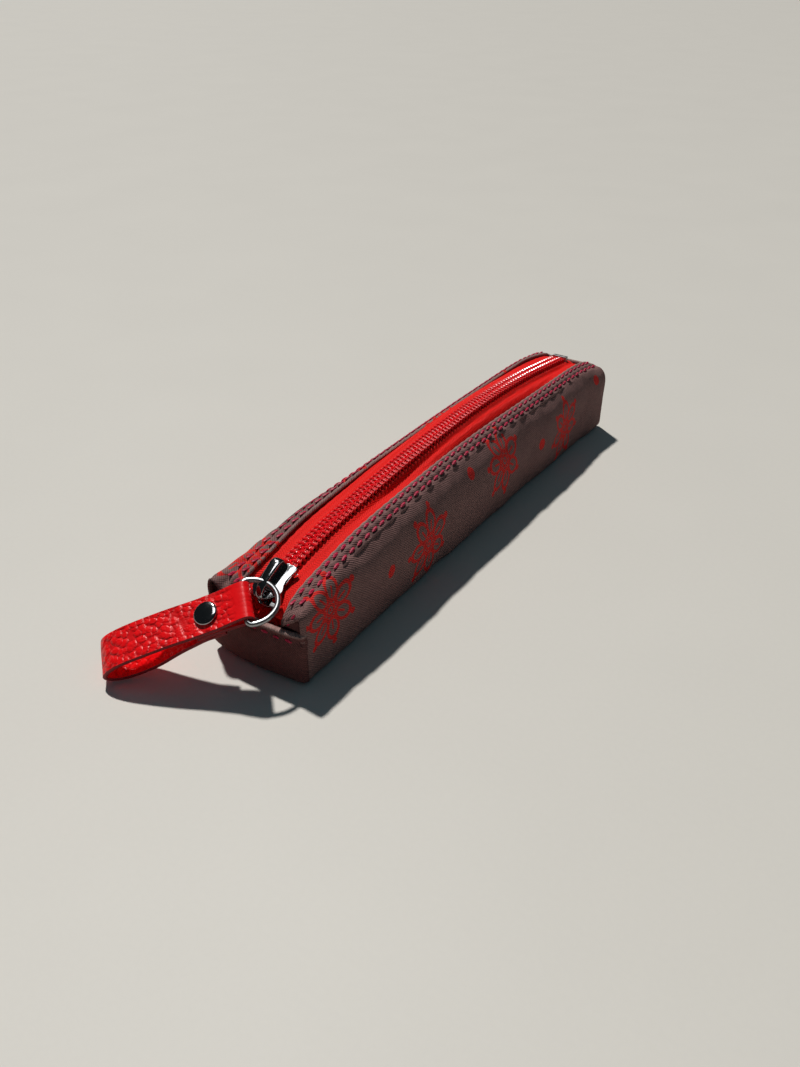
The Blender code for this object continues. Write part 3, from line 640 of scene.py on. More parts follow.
def paint_tooth_cord(colours):
    """Cord inside the teeth, wound with a fine thread."""
    paint = Paint("tooth_cord", {"Specular IOR Level": 0.35})
    wound = paint.cells(0.00040)
    colour = paint.between(wound, colours.nylon, paint_scaled(colours.nylon, 0.55))
    return paint.set({"Base Color": colour, "Roughness": 0.50 + wound * 0.2,
                      "Normal": paint.relief(wound, 0.00012, 0.8)})


def paint_tooth_thread(colours):
    """Red thread over the teeth, with a pale glint on its crown."""
    paint = Paint("tooth_thread", {"Specular IOR Level": 0.5})
    fray = paint.noise(0.0004, 2)
    colour = paint.between(fray, paint_scaled(colours.tape_red, 0.7), (0.95, 0.10, 0.10))
    return paint.set({"Base Color": colour, "Roughness": 0.26 + fray * 0.15,
                      "Normal": paint.relief(fray, 0.00006, 0.6)})


def paint_thread(colours):
    """Twisted thread, with painted shade between its plies and painted highlights on their crests."""
    paint = Paint("thread", {"Specular IOR Level": 0.30})
    along, across = paint.parts(paint.node("UVMap", {"uv_map": "UVMap"}))
    ply = paint.math("SINE", (along * 2.0 + across * 3.0) * (2 * pi))
    fray = paint.noise(0.0006, 2)
    height = ply * 0.35 + fray * 0.3 + 0.35
    # Painted shade between the plies and painted highlights on their crests, from the ply height and the fray noise.
    colour = paint.between(height, paint_scaled(colours.thread, 0.55), colours.thread)
    bright = paint.between(paint.step(height, 0.62, 0.92) * 0.30, colour, (0.80, 0.06, 0.16))
    return paint.set({"Base Color": bright, "Roughness": 0.58 - fray * 0.12,
                      "Normal": paint.relief(height, 0.00010, 0.8)})


def paint_leather(colours):
    """Pebble grain with painted shade between the pebbles, smoother where the strap folds round the ring."""
    paint = Paint("leather", {"Specular IOR Level": 0.24, "Coat Weight": 0.04,
                              "Coat Roughness": 0.18})
    along, across = paint.cloth_map()
    bend = paint.noise(0.0022, 3) * 0.0016
    spread = paint.vector(along + bend, across * 1.1 + bend)
    pebble = 1.0 - paint.cells(0.00190, spread, 0.92) ** 2
    fine = 1.0 - paint.cells(0.00080, spread) ** 2
    groove = paint.step(pebble, 0.30, 0.95) * 0.78 + fine * 0.22
    grain = paint.step(paint.math("ABSOLUTE", along - FOLD_RUN), 0.0036, 0.0075) * 0.94 + 0.06
    height = groove * grain + (1 - grain) * 0.90
    pore = paint.noise(0.00030, 2)
    # Darker between the pebbles: painted shade, mixed with random noise.
    tone = height * 0.72 + paint.noise(0.006, 3) * 0.28
    colour = paint.between(tone, paint_scaled(colours.leather, 0.74), colours.leather)
    relief = paint.relief(height, 0.00048, 0.90)
    return paint.set({"Base Color": colour, "Roughness": 0.36 - height * 0.10 + pore * 0.10,
                      "Normal": paint.relief(pore, 0.00004, 0.5, relief)})


def paint_leather_edge(colours):
    """Painted cut edge, with the fibres just showing."""
    paint = Paint("leather_edge", {"Specular IOR Level": 0.4})
    along, across = paint.cloth_map()
    fibre = paint.noise(0.0006, 4, paint.vector(along * 0.3, across), 0.7)
    colour = paint.between(fibre, paint_scaled(colours.leather_edge, 0.5), colours.leather_edge)
    return paint.set({"Base Color": colour, "Roughness": fibre * 0.25 + 0.42,
                      "Normal": paint.relief(fibre, 0.00012, 0.6)})


def metal(name, colour, roughness, wear):
    """Plated metal with faint scuffs and a slight orange-peel."""
    paint = Paint(name, {"Metallic": 1.0})
    scuff = paint.noise(0.0022, 5, roughness=0.7)
    hair = paint.noise(0.00035, 2)
    tone = paint.between(scuff, paint_scaled(colour, 0.80), paint_scaled(colour, 1.08))
    uneven = paint.step(scuff, 0.52, 0.72) * wear + roughness
    return paint.set({"Base Color": tone, "Roughness": uneven + hair * 0.03,
                      "Normal": paint.relief(paint.noise(0.0040, 1), 0.00002, 0.30)})


def paint_gunmetal(colours):
    return metal("gunmetal", colours.gunmetal, 0.10, 0.06)


def paint_steel(colours):
    return metal("steel", colours.steel, 0.30, 0.08)


def paint_table(colours):
    """Matt pale table top with the faintest mottling."""
    paint = Paint("table", {"Roughness": 0.55, "Specular IOR Level": 0.25})
    cloud = paint.noise(0.060, 4)
    speck = paint.noise(0.0016, 2)
    tone = cloud * 0.05 + speck * 0.03 + 0.96
    return paint.set({"Base Color": paint.times(tuple(colours.table), tone)})


# Pieces


def keep_piece(name, shape, materials, slot, body=None, replaced=(), sharp=38):
    """A finished piece as an object that rides on a body and stands for CAD nodes."""
    bmesh.ops.translate(shape, verts=shape.verts, vec=(0, -LENGTH / 2, 0))
    mesh = bpy.data.meshes.new(name)
    shape.to_mesh(mesh)
    shape.free()
    item = bpy.data.objects.new(name, mesh)
    bpy.context.scene.collection.objects.link(item)
    for material in materials:
        mesh.materials.append(finish(material))
    mesh.shade_smooth()
    mesh.set_sharp_from_angle(angle=radians(sharp))
    if slot:
        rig.slot(item, slot)
    if body:
        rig.ride(item, body)
    if replaced:
        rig.replaces(item, *replaced)
    return item


def turn_partly(item, near, far, share):
    """Turns a whole piece, a rigid one too, only part of the way from one body to the next."""
    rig.blend(item, near, far, start=(0, 0, FAR), end=(0, 0, FAR - FAR / share))


def thicken(item, thickness, inner_material=0):
    """Gives a sheet its real thickness, inwards."""
    wall = item.modifiers.new("cloth", "SOLIDIFY")
    wall.thickness = thickness
    wall.offset = -1
    wall.use_even_offset = False
    wall.material_offset = inner_material
    return wall


def lay_grid(shape, rows):
    """A grid whose vertices lie on rows of points, with each one's row and column."""
    columns_less, rows_less = len(rows[0]) - 1, len(rows) - 1
    made = bmesh.ops.create_grid(shape, x_segments=columns_less, y_segments=rows_less, size=1)
    spots = {}
    for vertex in made["verts"]:
        j = round((vertex.co.y + 1) / 2 * rows_less)
        i = round((vertex.co.x + 1) / 2 * columns_less)
        spots[vertex] = (j, i)
        vertex.co = rows[j][i]
    return spots


def sheet(rows, marks, flip=False, trim=()):
    """A grid with its distances kept as the cloth map and its trim in the second material."""
    shape = bmesh.new()
    store = shape.loops.layers.uv.new("cloth")
    spots = lay_grid(shape, rows)
    for face in shape.faces:
        face.material_index = int(any(spots[vertex][1] in trim for vertex in face.verts))
        for loop in face.loops:
            j, i = spots[loop.vert]
            loop[store].uv = marks[j][i]
    if flip:
        bmesh.ops.reverse_faces(shape, faces=shape.faces)
    return shape


def add_tube(shape, rings, closed=False):
    """A grid rolled up through rings of points."""
    rows = [[*ring, ring[0]] for ring in rings]
    if closed:
        rows.append(rows[0])
    spots = lay_grid(shape, rows)
    bmesh.ops.remove_doubles(shape, verts=list(spots), dist=1e-7)


def close_ends(shape):
    """Caps every open end and turns all faces outwards."""
    rims = [edge for edge in shape.edges if edge.is_boundary]
    caps = bmesh.ops.holes_fill(shape, edges=rims, sides=0)["faces"] if rims else []
    bmesh.ops.recalc_face_normals(shape, faces=shape.faces)
    return caps


def end_share(run):
    """1 at either end of the case, fading to 0 along END_REACH."""
    reach = min(run, LENGTH - run) / END_REACH
    return exp(-reach * reach)


def hem_height(run):
    front = FRONT_HEM_DROP * exp(-run / FRONT_HEM_REACH)
    rear = REAR_HEM_DROP * exp(-(LENGTH - run) / REAR_HEM_REACH)
    slack = SLIDER_SLACK * bump(run, 0.016, 0.016) + FRONT_SLACK * exp(-run / 0.0028)
    return HEM_HEIGHT - front - rear - slack


def base_half(run):
    return mix(MIDDLE_BASE_HALF, HALF_WIDTH, end_share(run))


def along_middle(run):
    """0 beside the slider and at the rear end, 1 along the middle."""
    return ease((run - 0.035) / 0.040) * ease((LENGTH - 0.004 - run) / 0.024)


def shoulder(run, side=1):
    """Edge between the top and the wall; the left one settles lower along the middle."""
    lower = 0.0020 * along_middle(run) if side < 0 else 0
    height = mix(MIDDLE_SHOULDER_HEIGHT, EAR_HEIGHT, end_share(run))
    return Vector((HALF_WIDTH, height - lower))


def hem_corner(run, side=1):
    """Where the hem's edge lies: both hems lean a little and rise along the middle."""
    if side < 0:
        inwards = 0.0012 * bump(run, 0.012, 0.016) - 0.0008 * bump(run, 0.120, 0.050)
        lift = 0.0016 * along_middle(run)
    else:
        inwards = 0.0009 * bump(run, 0.085, 0.045)
        lift = 0.0016 * bump(run, 0.105, 0.055)
    return Vector((HALF_MOUTH - inwards, hem_height(run) + lift))


def frame_chain_height(run):
    """Middle of the chain on the frame's own arc, which places the slider."""
    dip = max(0, 1 - run / FRONT_DIP_REACH)
    reach = run - ARC_TOP_RUN
    return (ARC_TOP - ARC_RADIUS + sqrt(ARC_RADIUS**2 - reach * reach)
            - FRONT_DIP * dip * dip)


def chain_height(run):
    """Middle of the closed chain, which bends a little off the frame's arc."""
    fuller = 0.0004 * bump(run, 0.030, 0.010) - 0.0006 * bump(run, 0.080, 0.035)
    return frame_chain_height(run) + fuller


def slope_of(height, run, step):
    return (height(run + step) - height(run - step)) / (2 * step)


def parting(run):
    return PARTING * ease((SLIDER_RUN - run) / (SLIDER_LENGTH / 2))


def turn_under(points, x, inwards, sizes):
    """Rounds a section's foot from its wall at x, and folds its edge up inside."""
    lower = sizes.foot
    for i in range(1, 7):
        angle = pi / 2 * i / 6
        points.append(Vector((x + inwards * lower * (1 - cos(angle)),
                              lower - lower * sin(angle))))
    points.append(points[-1] + Vector((inwards * 0.0016, 0)))
    points.append(points[-1] + Vector((inwards * 0.0006, 0.0009)))


def off_face(section, i):
    """Direction off the face at a point of a section."""
    ahead = section[min(i + 1, len(section) - 1)] - section[max(i - 1, 0)]
    return Vector((-ahead.y, ahead.x)).normalized()


def side_outline(run, sizes, side=1):
    """Section of a side from the end of its hem over the fold, down the wall and under.

    Gives the points and the distance along them at which the fold's edge lies.
    """
    hem, top, foot = hem_corner(run, side), shoulder(run, side), Vector((base_half(run), 0))
    along = (hem - top).normalized()
    under = Vector((-along.y, along.x))
    radius = sizes.fold_radius
    centre = hem - along * radius + under * radius
    points = [centre + under * radius - along * sizes.hem_return * share / 6
              for share in range(6, 0, -1)]
    steps = 10
    for i in range(steps + 1):
        angle = pi * i / steps
        points.append(centre + under * radius * cos(angle) + along * radius * sin(angle))
    edge = sizes.hem_return + pi / 2 * radius
    rounding = mix(SHOULDER_ROUNDING, EAR_ROUNDING, end_share(run))
    before = top + (foot - top).normalized() * rounding * 1.5
    after = top + along * min(rounding, 0.92 * ((hem - top).length - radius))
    corner = 16
    for i in range(corner + 1):
        u = i / corner
        points.append(after * (1 - u) ** 2 + top * 2 * u * (1 - u) + before * u * u)
    knee = Vector((foot.x, sizes.foot))
    wall = 12
    points += [before.lerp(knee, i / wall) for i in range(1, wall + 1)]
    swell = BELLY * (1 - end_share(run))
    for point in points[6 + steps + 1:]:
        point.x += swell * sin(pi * min(point.y / top.y, 1))
    turn_under(points, knee.x, -1, sizes)
    return points, edge


def side_swell(side, run, across, sizes):
    """How far the cloth stands off its plain shape: puckers by the stitches, soft dents."""
    first, second = sizes.first_row, sizes.second_row
    height = 0
    for row, middle in enumerate((first, second)):
        turn = stitch_turn(run, row, sizes)
        dip = 0.35 + 0.65 * (0.5 - 0.5 * cos(turn))
        height -= sizes.pucker * 1.5 * dip * bump(across, middle, 0.00085)
    turn = stitch_turn(run, 0.5, sizes)
    between = bump(across, (first + second) / 2, 0.00085)
    height += sizes.pucker * 0.85 * between * (0.55 + 0.6 * cos(turn))
    if across > second:
        beyond = across - second
        fade = exp(-beyond / 0.0026) * (1 - exp(-beyond / 0.0008))
        height += sizes.pucker * 1.3 * fade * cos(turn * 0.5 + 330 * beyond
                                                  + 3 * noise.noise(Vector((run * 90, side, 0))))
    if across < first:
        height += sizes.pucker * 0.22 * cos(turn) * bump(across, 0.0002, 0.0012)
    seam = bump(run, ear_seam(across), 0.00032) if 0.0045 < across else 0
    height -= 0.00042 * seam * ease((across - 0.0045) / 0.001)
    place = Vector((run * 48, across * 60, 7.3 * side))
    broad = noise.noise(place) + 0.45 * noise.noise(place * 2.3)
    lean = noise.noise(Vector((run * 130 + across * 90, across * 26, 3.1 * side)))
    fade = ease((across - second) / 0.005)
    height += sizes.dent * (1.25 * broad + 0.45 * lean) * fade
    return height


def stitch_turn(run, row, sizes):
    """Turns of the stitching at a distance along the case: whole ones at mid-stitch."""
    return 2 * pi * ((run - FIRST_STITCH) / sizes.stitch_pitch - 0.5 - ROW_SHIFT * row)


def ear_seam(across):
    """Run of the seam that joins the plain ear to the printed side."""
    return 0.0012 + 0.0030 * exp(-((across - 0.0045) / 0.0028) ** 2)


def settle(point):
    """Stands the front left corner a little off the table."""
    away = ((point.x + HALF_WIDTH) ** 2 + point.y**2) / 0.0060**2
    point.z += 0.0012 * exp(-away - point.z / 0.010)
    return point


def foot_inset(height, sizes):
    """How far the rounded foot has turned in at a height."""
    below = max(0, sizes.foot - height)
    return sizes.foot - sqrt(max(0, sizes.foot**2 - below**2))


def corner_turn(distance, radius):
    """How far a surface has turned in at a rounded corner, at a distance from its end."""
    if distance >= radius:
        return 0
    reach = 1 - max(0, distance) / radius
    return radius * (1 - sqrt(max(0, 1 - reach * reach)))


def side_columns(total, edge):
    """Distances along the section: close at the hem, wider down the wall."""
    marks = [-edge + edge * i / 7 for i in range(7)]
    marks += [HEM_BAND * i / 22 for i in range(22)]
    marks += [HEM_BAND + (total - edge - HEM_BAND) * i / 34 for i in range(35)]
    return marks


class PENCASE_OT_side_cloths(bpy.types.Operator):
    """Printed sides with a folded hem beside the zip"""

    bl_idname = "pencase.side_cloths"
    bl_label = "Side cloths"

    def execute(self, context):
        sizes = context.scene.cloth_sizes
        count = int(LENGTH / 0.0005)
        for side, name in ((-1, "left"), (1, "right")):
            rows, marks = [], []
            for j in range(count + 1):
                run = LENGTH * j / count
                points, edge = side_outline(run, sizes, side)
                total = length_of(points)
                columns = side_columns(total, edge)
                places = even_line(points, [edge + d for d in columns])
                open_front = side < 0 and run < LENGTH / 2
                turn = corner_turn(min(run, LENGTH - run),
                                   0.0004 if open_front else sizes.rounding)
                row, inset = [], 0
                for i, (place, across) in enumerate(zip(places, columns)):
                    outward = off_face(places, i)
                    swell = side_swell(side, run, across, sizes) if across >= 0 else 0
                    swell *= ease((total - edge - across) / 0.0045)
                    place = place + outward * swell
                    place.x -= max(outward.x, 0) * turn
                    place.y -= max(outward.y, 0) * turn
                    inset = max(inset, foot_inset(place.y, sizes))
                    length_at = mix(inset, LENGTH - inset, run / LENGTH)
                    row.append(settle(Vector((side * place.x, length_at, max(place.y, 0)))))
                rows.append(row)
                nominal = SIDE_SPAN - HEM_BAND
                flat = total - edge - HEM_BAND
                marks.append([(run + 0.3 * (side < 0),
                               d if d < HEM_BAND else HEM_BAND + (d - HEM_BAND) * nominal / flat)
                              for d in columns])
            shape = sheet(rows, marks, flip=side < 0)
            item = keep_piece("side_cloth_" + name, shape, ("printed_twill", "lining"),
                              "printed_twill", "case", ("side_panel_" + name,))
            thicken(item, sizes.cloth, 1)
        return {"FINISHED"}


def ends(sizes):
    """Name, run, direction inwards, height and crown of each end, with its half width."""
    for name, start, inward, height, crown in (
            ("front", 0, 1, FRONT_END_HEIGHT, sizes.front_crown),
            ("rear", LENGTH, -1, REAR_END_HEIGHT, REAR_CROWN)):
        yield name, start, inward, height, crown, base_half(start) - END_GAP


def end_outline(height, sizes):
    """Section of an end cloth, from the end of its hem over the fold and down.

    Points are (inwards, up).
    """
    radius = END_FOLD
    centre = Vector((radius, height - radius))
    points = [Vector((2 * radius, height - radius - END_HEM_RETURN * share / 4))
              for share in range(4, 0, -1)]
    for i in range(9):
        angle = pi * i / 8
        points.append(centre + Vector((radius * cos(angle), radius * sin(angle))))
    edge = END_HEM_RETURN + pi / 2 * radius
    points += [Vector((0, mix(height - radius, sizes.foot, i / 10))) for i in range(1, 11)]
    turn_under(points, 0, 1, sizes)
    return points, edge


class PENCASE_OT_end_cloths(bpy.types.Operator):
    """Plain ends with a rolled hem across the foot of the zip"""

    bl_idname = "pencase.end_cloths"
    bl_label = "End cloths"

    def execute(self, context):
        sizes = context.scene.cloth_sizes
        for name, start, inward, height, crown, reach in ends(sizes):
            edge_heights = height_across(start + inward * 0.0012, sizes)
            count = 84
            rows, marks = [], []
            for j in range(count + 1):
                x = -reach + 2 * reach * j / count
                top = min(height, edge_heights(abs(x)) - 0.0005)
                points, edge = end_outline(top, sizes)
                total = length_of(points)
                columns = [-edge + edge * i / 5 for i in range(5)]
                columns += [END_BAND * i / 16 for i in range(16)]
                columns += [END_BAND + (total - edge - END_BAND) * i / 28 for i in range(29)]
                places = even_line(points, [edge + d for d in columns])
                row, inset = [], 0
                for i, (place, across) in enumerate(zip(places, columns)):
                    swell = end_swell(inward, x, across, reach, total - edge, crown, sizes)
                    turn = corner_turn(reach - abs(x), sizes.rounding)
                    in_by = place.x - swell + turn
                    inset = max(inset, foot_inset(place.y, sizes))
                    narrow = 0.0013 * ease((place.x - 0.0003) / 0.0013) if across < 0.003 else 0
                    x_at = x * (1 - (inset + narrow) / reach)
                    row.append(settle(Vector((x_at, start + inward * in_by, max(place.y, 0)))))
                rows.append(row)
                marks.append([(x + 0.6 + 0.3 * inward, d) for d in columns])
            shape = sheet(rows, marks, flip=inward < 0)
            item = keep_piece(name + "_end_cloth", shape, ("plain_twill", "lining"),
                              "plain_twill", "case", (name + "_end_panel",))
            thicken(item, sizes.cloth, 1)
        return {"FINISHED"}


def height_across(run, sizes):
    """Function that gives the height of the side's outline over a distance from the middle."""
    points, edge = side_outline(run, sizes)
    outer = even_line(points, [edge + 0.0004 * i for i in range(36)])

    def height(x):
        for a, b in zip(outer, outer[1:]):
            if a.x <= x <= b.x and b.x > a.x:
                return mix(a.y, b.y, (x - a.x) / (b.x - a.x))
        return outer[0].y if x < outer[0].x else outer[-1].y

    return height


def end_swell(inward, x, across, reach, length, crown, sizes):
    """How far an end stands out below its hem, with puckers along the stitches."""
    lean = 0.8 * crown * (1 - (x / reach) ** 4) * (1 - ease((across - 0.0025) / 0.0070))
    if across <= 0:
        return lean
    middle = 1 - (x / reach) ** 2
    belly = crown * middle * ease((across - 0.0022) / 0.0060) * ease((length - across) / 0.0060)
    turn = 2 * pi * x / sizes.stitch_pitch
    pinch = -sizes.pucker * 1.5 * bump(across, END_STITCH_ROW, 0.0007) * (0.6 + 0.4 * cos(turn))
    ripple = (sizes.pucker * 0.7 * exp(-max(0, across - 0.0035) / 0.004)
              * sin(turn * 0.5 + 400 * across))
    dent = sizes.dent * 0.9 * noise.noise(Vector((x * 90, across * 80, 11 * inward)))
    roll = 0.0005 * bump(across, 0.0008, 0.0010)
    return (lean + roll + belly + pinch + ripple * ease((across - 0.0033) / 0.001)
            + dent * ease((across - 0.0035) / 0.005)) * ease((length - across) / 0.004)


class PENCASE_OT_corner_ears(bpy.types.Operator):
    """Turned-in cloth that closes the corners between the sides' hems and the ends"""

    bl_idname = "pencase.corner_ears"
    bl_label = "Corner ears"

    def execute(self, context):
        sizes = context.scene.cloth_sizes
        ears = (("front_left", -1, 0, 1, FRONT_END_HEIGHT, 0.0032, 0),
                ("front_right", 1, 0, 1, FRONT_END_HEIGHT, 0.0010, 0.0004),
                ("rear_left", -1, LENGTH, -1, REAR_END_HEIGHT, 0.0010, 0.0004),
                ("rear_right", 1, LENGTH, -1, REAR_END_HEIGHT, 0.0010, 0.0004))
        for name, side, start, inward, height, recess, bulge in ears:
            run = start + inward * (recess + 0.0008)
            points, edge = side_outline(run, sizes, side)
            inner = sizes.cloth * 1.1 + 0.0006
            bottom = min(height, EAR_BOTTOM) - 0.0016
            upper = even_line(points, [edge + 0.0004 + 0.0160 * i / 40 for i in range(41)])
            upper = [p for p in upper if p.y > bottom + 0.0004]
            count = 24
            total = length_of(upper)
            upper = even_line(upper, [total * i / count for i in range(count + 1)])
            rows, marks = [], []
            for j in range(13):
                share = j / 12
                row, mark = [], []
                for i, place in enumerate(upper):
                    top = place - off_face(upper, i) * inner
                    low_x = mix(HALF_MOUTH - 0.0010, HALF_WIDTH - inner - 0.0009, i / count)
                    point = top.lerp(Vector((low_x, bottom)), share)
                    depth = recess + 0.0008 * (1 - ease(share / 0.3)) - bulge * sin(pi * share)
                    depth += 0.0010 * ease((share - 0.72) / 0.28)
                    row.append(Vector((side * point.x, start + inward * depth, point.y)))
                    mark.append((0.9 + 0.012 * i / count + 0.1 * side, 0.004 + 0.008 * share))
                rows.append(row)
                marks.append(mark)
            shape = sheet(rows, marks, flip=side * inward > 0)
            item = keep_piece("ear_" + name, shape, ("plain_twill",), "plain_twill", "case")
            thicken(item, sizes.cloth)
        return {"FINISHED"}


class PENCASE_OT_base_cloth(bpy.types.Operator):
    """Base that the case lies on"""

    bl_idname = "pencase.base_cloth"
    bl_label = "Base cloth"

    def execute(self, context):
        sizes = context.scene.cloth_sizes
        rows, marks = [], []
        count = 120
        for j in range(count + 1):
            run = mix(BASE_INSET, LENGTH - BASE_INSET, j / count)
            reach = base_half(run) - BASE_INSET
            row, mark = [], []
            for i in range(33):
                x = mix(-reach, reach, i / 32)
                near = min(reach - abs(x), run - BASE_INSET, LENGTH - BASE_INSET - run)
                seam = 0.0008 * (1 - ease(near / 0.0014))
                dent = 0.00012 * (1 + noise.noise(Vector((x * 110, run * 60, 5))))
                row.append(settle(Vector((x, run, 0.0001 + seam + dent * ease(near / 0.003)))))
                mark.append((run + 1.4, 0.05 + x))
            rows.append(row)
            marks.append(mark)
        shape = sheet(rows, marks, flip=True)
        item = keep_piece("base_cloth", shape, ("plain_twill", "lining"), "plain_twill",
                          "case", ("base_panel",))
        thicken(item, sizes.cloth, 1)
        return {"FINISHED"}


def add_stitch(shape, place, ahead, outward, length, thread, lean):
    """One stitch: a thread that rises from one hole and dips into the next."""
    made = bmesh.ops.create_uvsphere(shape, u_segments=6, v_segments=6, radius=1,
                                     calc_uvs=True)["verts"]
    ahead = (ahead - outward * ahead.dot(outward)).normalized()
    aside = outward.cross(ahead)
    ahead = (ahead + aside * lean).normalized()
    aside = outward.cross(ahead)
    turn = Matrix((aside, ahead, outward)).transposed().to_4x4()
    stretch = Matrix.Diagonal((thread / 2, thread * 0.42, length / 2, 1))
    stand = Matrix.Rotation(-pi / 2, 4, "X")
    for vertex in made:
        vertex.co.z = max(-1, min(1, vertex.co.z * 1.02))
        taper = 1 - 0.35 * abs(vertex.co.z) ** 3
        vertex.co.x *= taper
        vertex.co.y *= taper
    stand = Matrix.Translation(place) @ turn @ stand
    bmesh.ops.transform(shape, verts=made, matrix=stand @ stretch)


class PENCASE_OT_stitching(bpy.types.Operator):
    """Rows of crimson stitches beside the zip and along the ends' hems"""

    bl_idname = "pencase.stitching"
    bl_label = "Stitching"

    def execute(self, context):
        sizes = context.scene.cloth_sizes
        pitch = sizes.stitch_pitch
        for side, name in ((-1, "left"), (1, "right")):
            shape = bmesh.new()
            shape.loops.layers.uv.new("UVMap")
            for row, across in enumerate((sizes.first_row, sizes.second_row)):
                count = int((LENGTH - 0.004) / pitch)
                for k in range(count):
                    run = FIRST_STITCH + pitch * (k + 0.5 + ROW_SHIFT * row)
                    drift = 0.00012 * noise.noise(Vector((run * 300, row * 9, side)))
                    near = [self.place_on_side(side, run + step, across + drift, sizes)
                            for step in (-0.0006, 0, 0.0006)]
                    ahead = near[2][0] - near[0][0]
                    place, outward = near[1]
                    lean = side * (0.13 + 0.08 * noise.noise(Vector((run * 700, row, 2))))
                    add_stitch(shape, place + outward * sizes.thread * 0.16, ahead, outward,
                               sizes.stitch_length, sizes.thread, lean)
            keep_piece("hem_stitches_" + name, shape, ("thread",), "printed_twill", "case")
        for name, start, inward, height, crown, reach in ends(sizes):
            shape = bmesh.new()
            shape.loops.layers.uv.new("UVMap")
            count = int(2 * (HALF_WIDTH - 0.0015) / pitch)
            for k in range(count):
                x = (k - (count - 1) / 2) * pitch
                swell = end_swell(inward, x, END_STITCH_ROW, reach, 0.0200, crown, sizes)
                drop = 0.0029 - 0.0002 * sin(k * 2.1)
                place = Vector((x, start - inward * (swell + 0.00012), height - drop))
                add_stitch(shape, place, Vector((1, 0, 0)), Vector((0, -inward, 0)),
                           sizes.stitch_length, sizes.thread, 0.06 * sin(k * 1.7))
            if name == "front":
                for x, z in EAR_STITCHES:
                    add_stitch(shape, Vector((x, 0.0007, z)), Vector((0.5, 0, 1)).normalized(),
                               Vector((0, -1, 0)), sizes.stitch_length, sizes.thread, 0)
            keep_piece(name + "_hem_stitches", shape, ("thread",), "plain_twill", "case")
        return {"FINISHED"}

    def place_on_side(self, side, run, across, sizes):
        """Point on the side cloth, with the direction off its face."""
        points, edge = side_outline(run, sizes, side)
        place, ahead = even_line(points, [edge + across, edge + across + 0.0003])
        outward = Vector((-(ahead - place).y, (ahead - place).x)).normalized()
        place = place + outward * side_swell(side, run, across, sizes)
        return Vector((side * place.x, run, place.y)), Vector((side * outward.x, 0, outward.y))


# Zip


def tape_row(side, run):
    """Section of a tape from under the hem to under the teeth.

    The right tape lies level and turns up beside the chain, and the left one stands
    up at the hem and lies level beside the chain.
    """
    hem = hem_corner(run, side)
    middle = chain_height(run)
    edge = Vector((hem.x - 0.0002, hem.y - 0.0017))
    start = edge + (shoulder(run, side) - hem).normalized() * 0.0030
    shut = ease((run - END_STOP_RUN - 0.0011) / 0.003)
    foot = Vector((mix(TAPE_FOOT + parting(run), 0.0030, shut), middle - 0.00075))
    tip = Vector((mix(0.0026 + parting(run), 0.00002, shut), middle - 0.00070))
    points = [start, start.lerp(edge, 0.5), edge]
    crease = max(edge.y, foot.y - mix(0.0019, 0.0010, ease((run - 0.060) / 0.040)))
    stands = ease((run - 0.030) / 0.040)
    swells = mix(1, 2.6, stands)
    steps = 20
    for i in range(1, steps):
        share = i / steps
        if side > 0:
            height = mix(edge.y, crease, 1 - (1 - min(1, share / 0.72)) ** swells)
            height = mix(height, foot.y, ease((share - 0.72) / 0.28))
        else:
            height = mix(edge.y, foot.y, mix(share, 1 - (1 - share) ** 4, stands))
        sag = 0.00018 * sin(pi * share)
        points.append(Vector((mix(edge.x, foot.x, share), height - sag)))
    points += [foot, foot.lerp(tip, 0.5), tip]
    return points


class PENCASE_OT_tapes(bpy.types.Operator):
    """Woven tapes from under the hems to the teeth"""

    bl_idname = "pencase.tapes"
    bl_label = "Zip tapes"

    def execute(self, context):
        sizes = context.scene.zip_sizes
        count = 300
        for side, name in ((-1, "left"), (1, "right")):
            rows, marks = [], []
            for j in range(count + 1):
                run = mix(0.0012, LENGTH - 0.0016, j / count)
                section = tape_row(side, run)
                row, mark, gone = [], [], 0
                tuck = ease((run - LENGTH + TUCK_START) / TUCK_REACH)
                for i, place in enumerate(section):
                    gone += (place - section[i - 1]).length if i else 0
                    loose = 0.00016 * noise.noise(Vector((run * 160, i * 0.35, 5 * side)))
                    level = mix(place.y, min(place.y, TUCK_HEIGHT), tuck)
                    level += loose * sin(pi * i / (len(section) - 1))
                    row.append(Vector((side * place.x, run, level)))
                    mark.append((run, gone))
                rows.append(row)
                marks.append(mark)
            shape = sheet(rows, marks, flip=side > 0)
            item = keep_piece("tape_" + name, shape, ("tape_weave",), "zip_tape_weave", None)
            thicken(item, sizes.tape)
            reach = (HALF_MOUTH - TAPE_FOOT) / OPENING_SHARE
            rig.blend(item, "case", "zip_flap_" + name, start=(side * HALF_MOUTH, 0, HEM_HEIGHT),
                     end=(side * (HALF_MOUTH - reach), 0, HEM_HEIGHT))
            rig.replaces(item, "zip_tape_" + name)
        return {"FINISHED"}


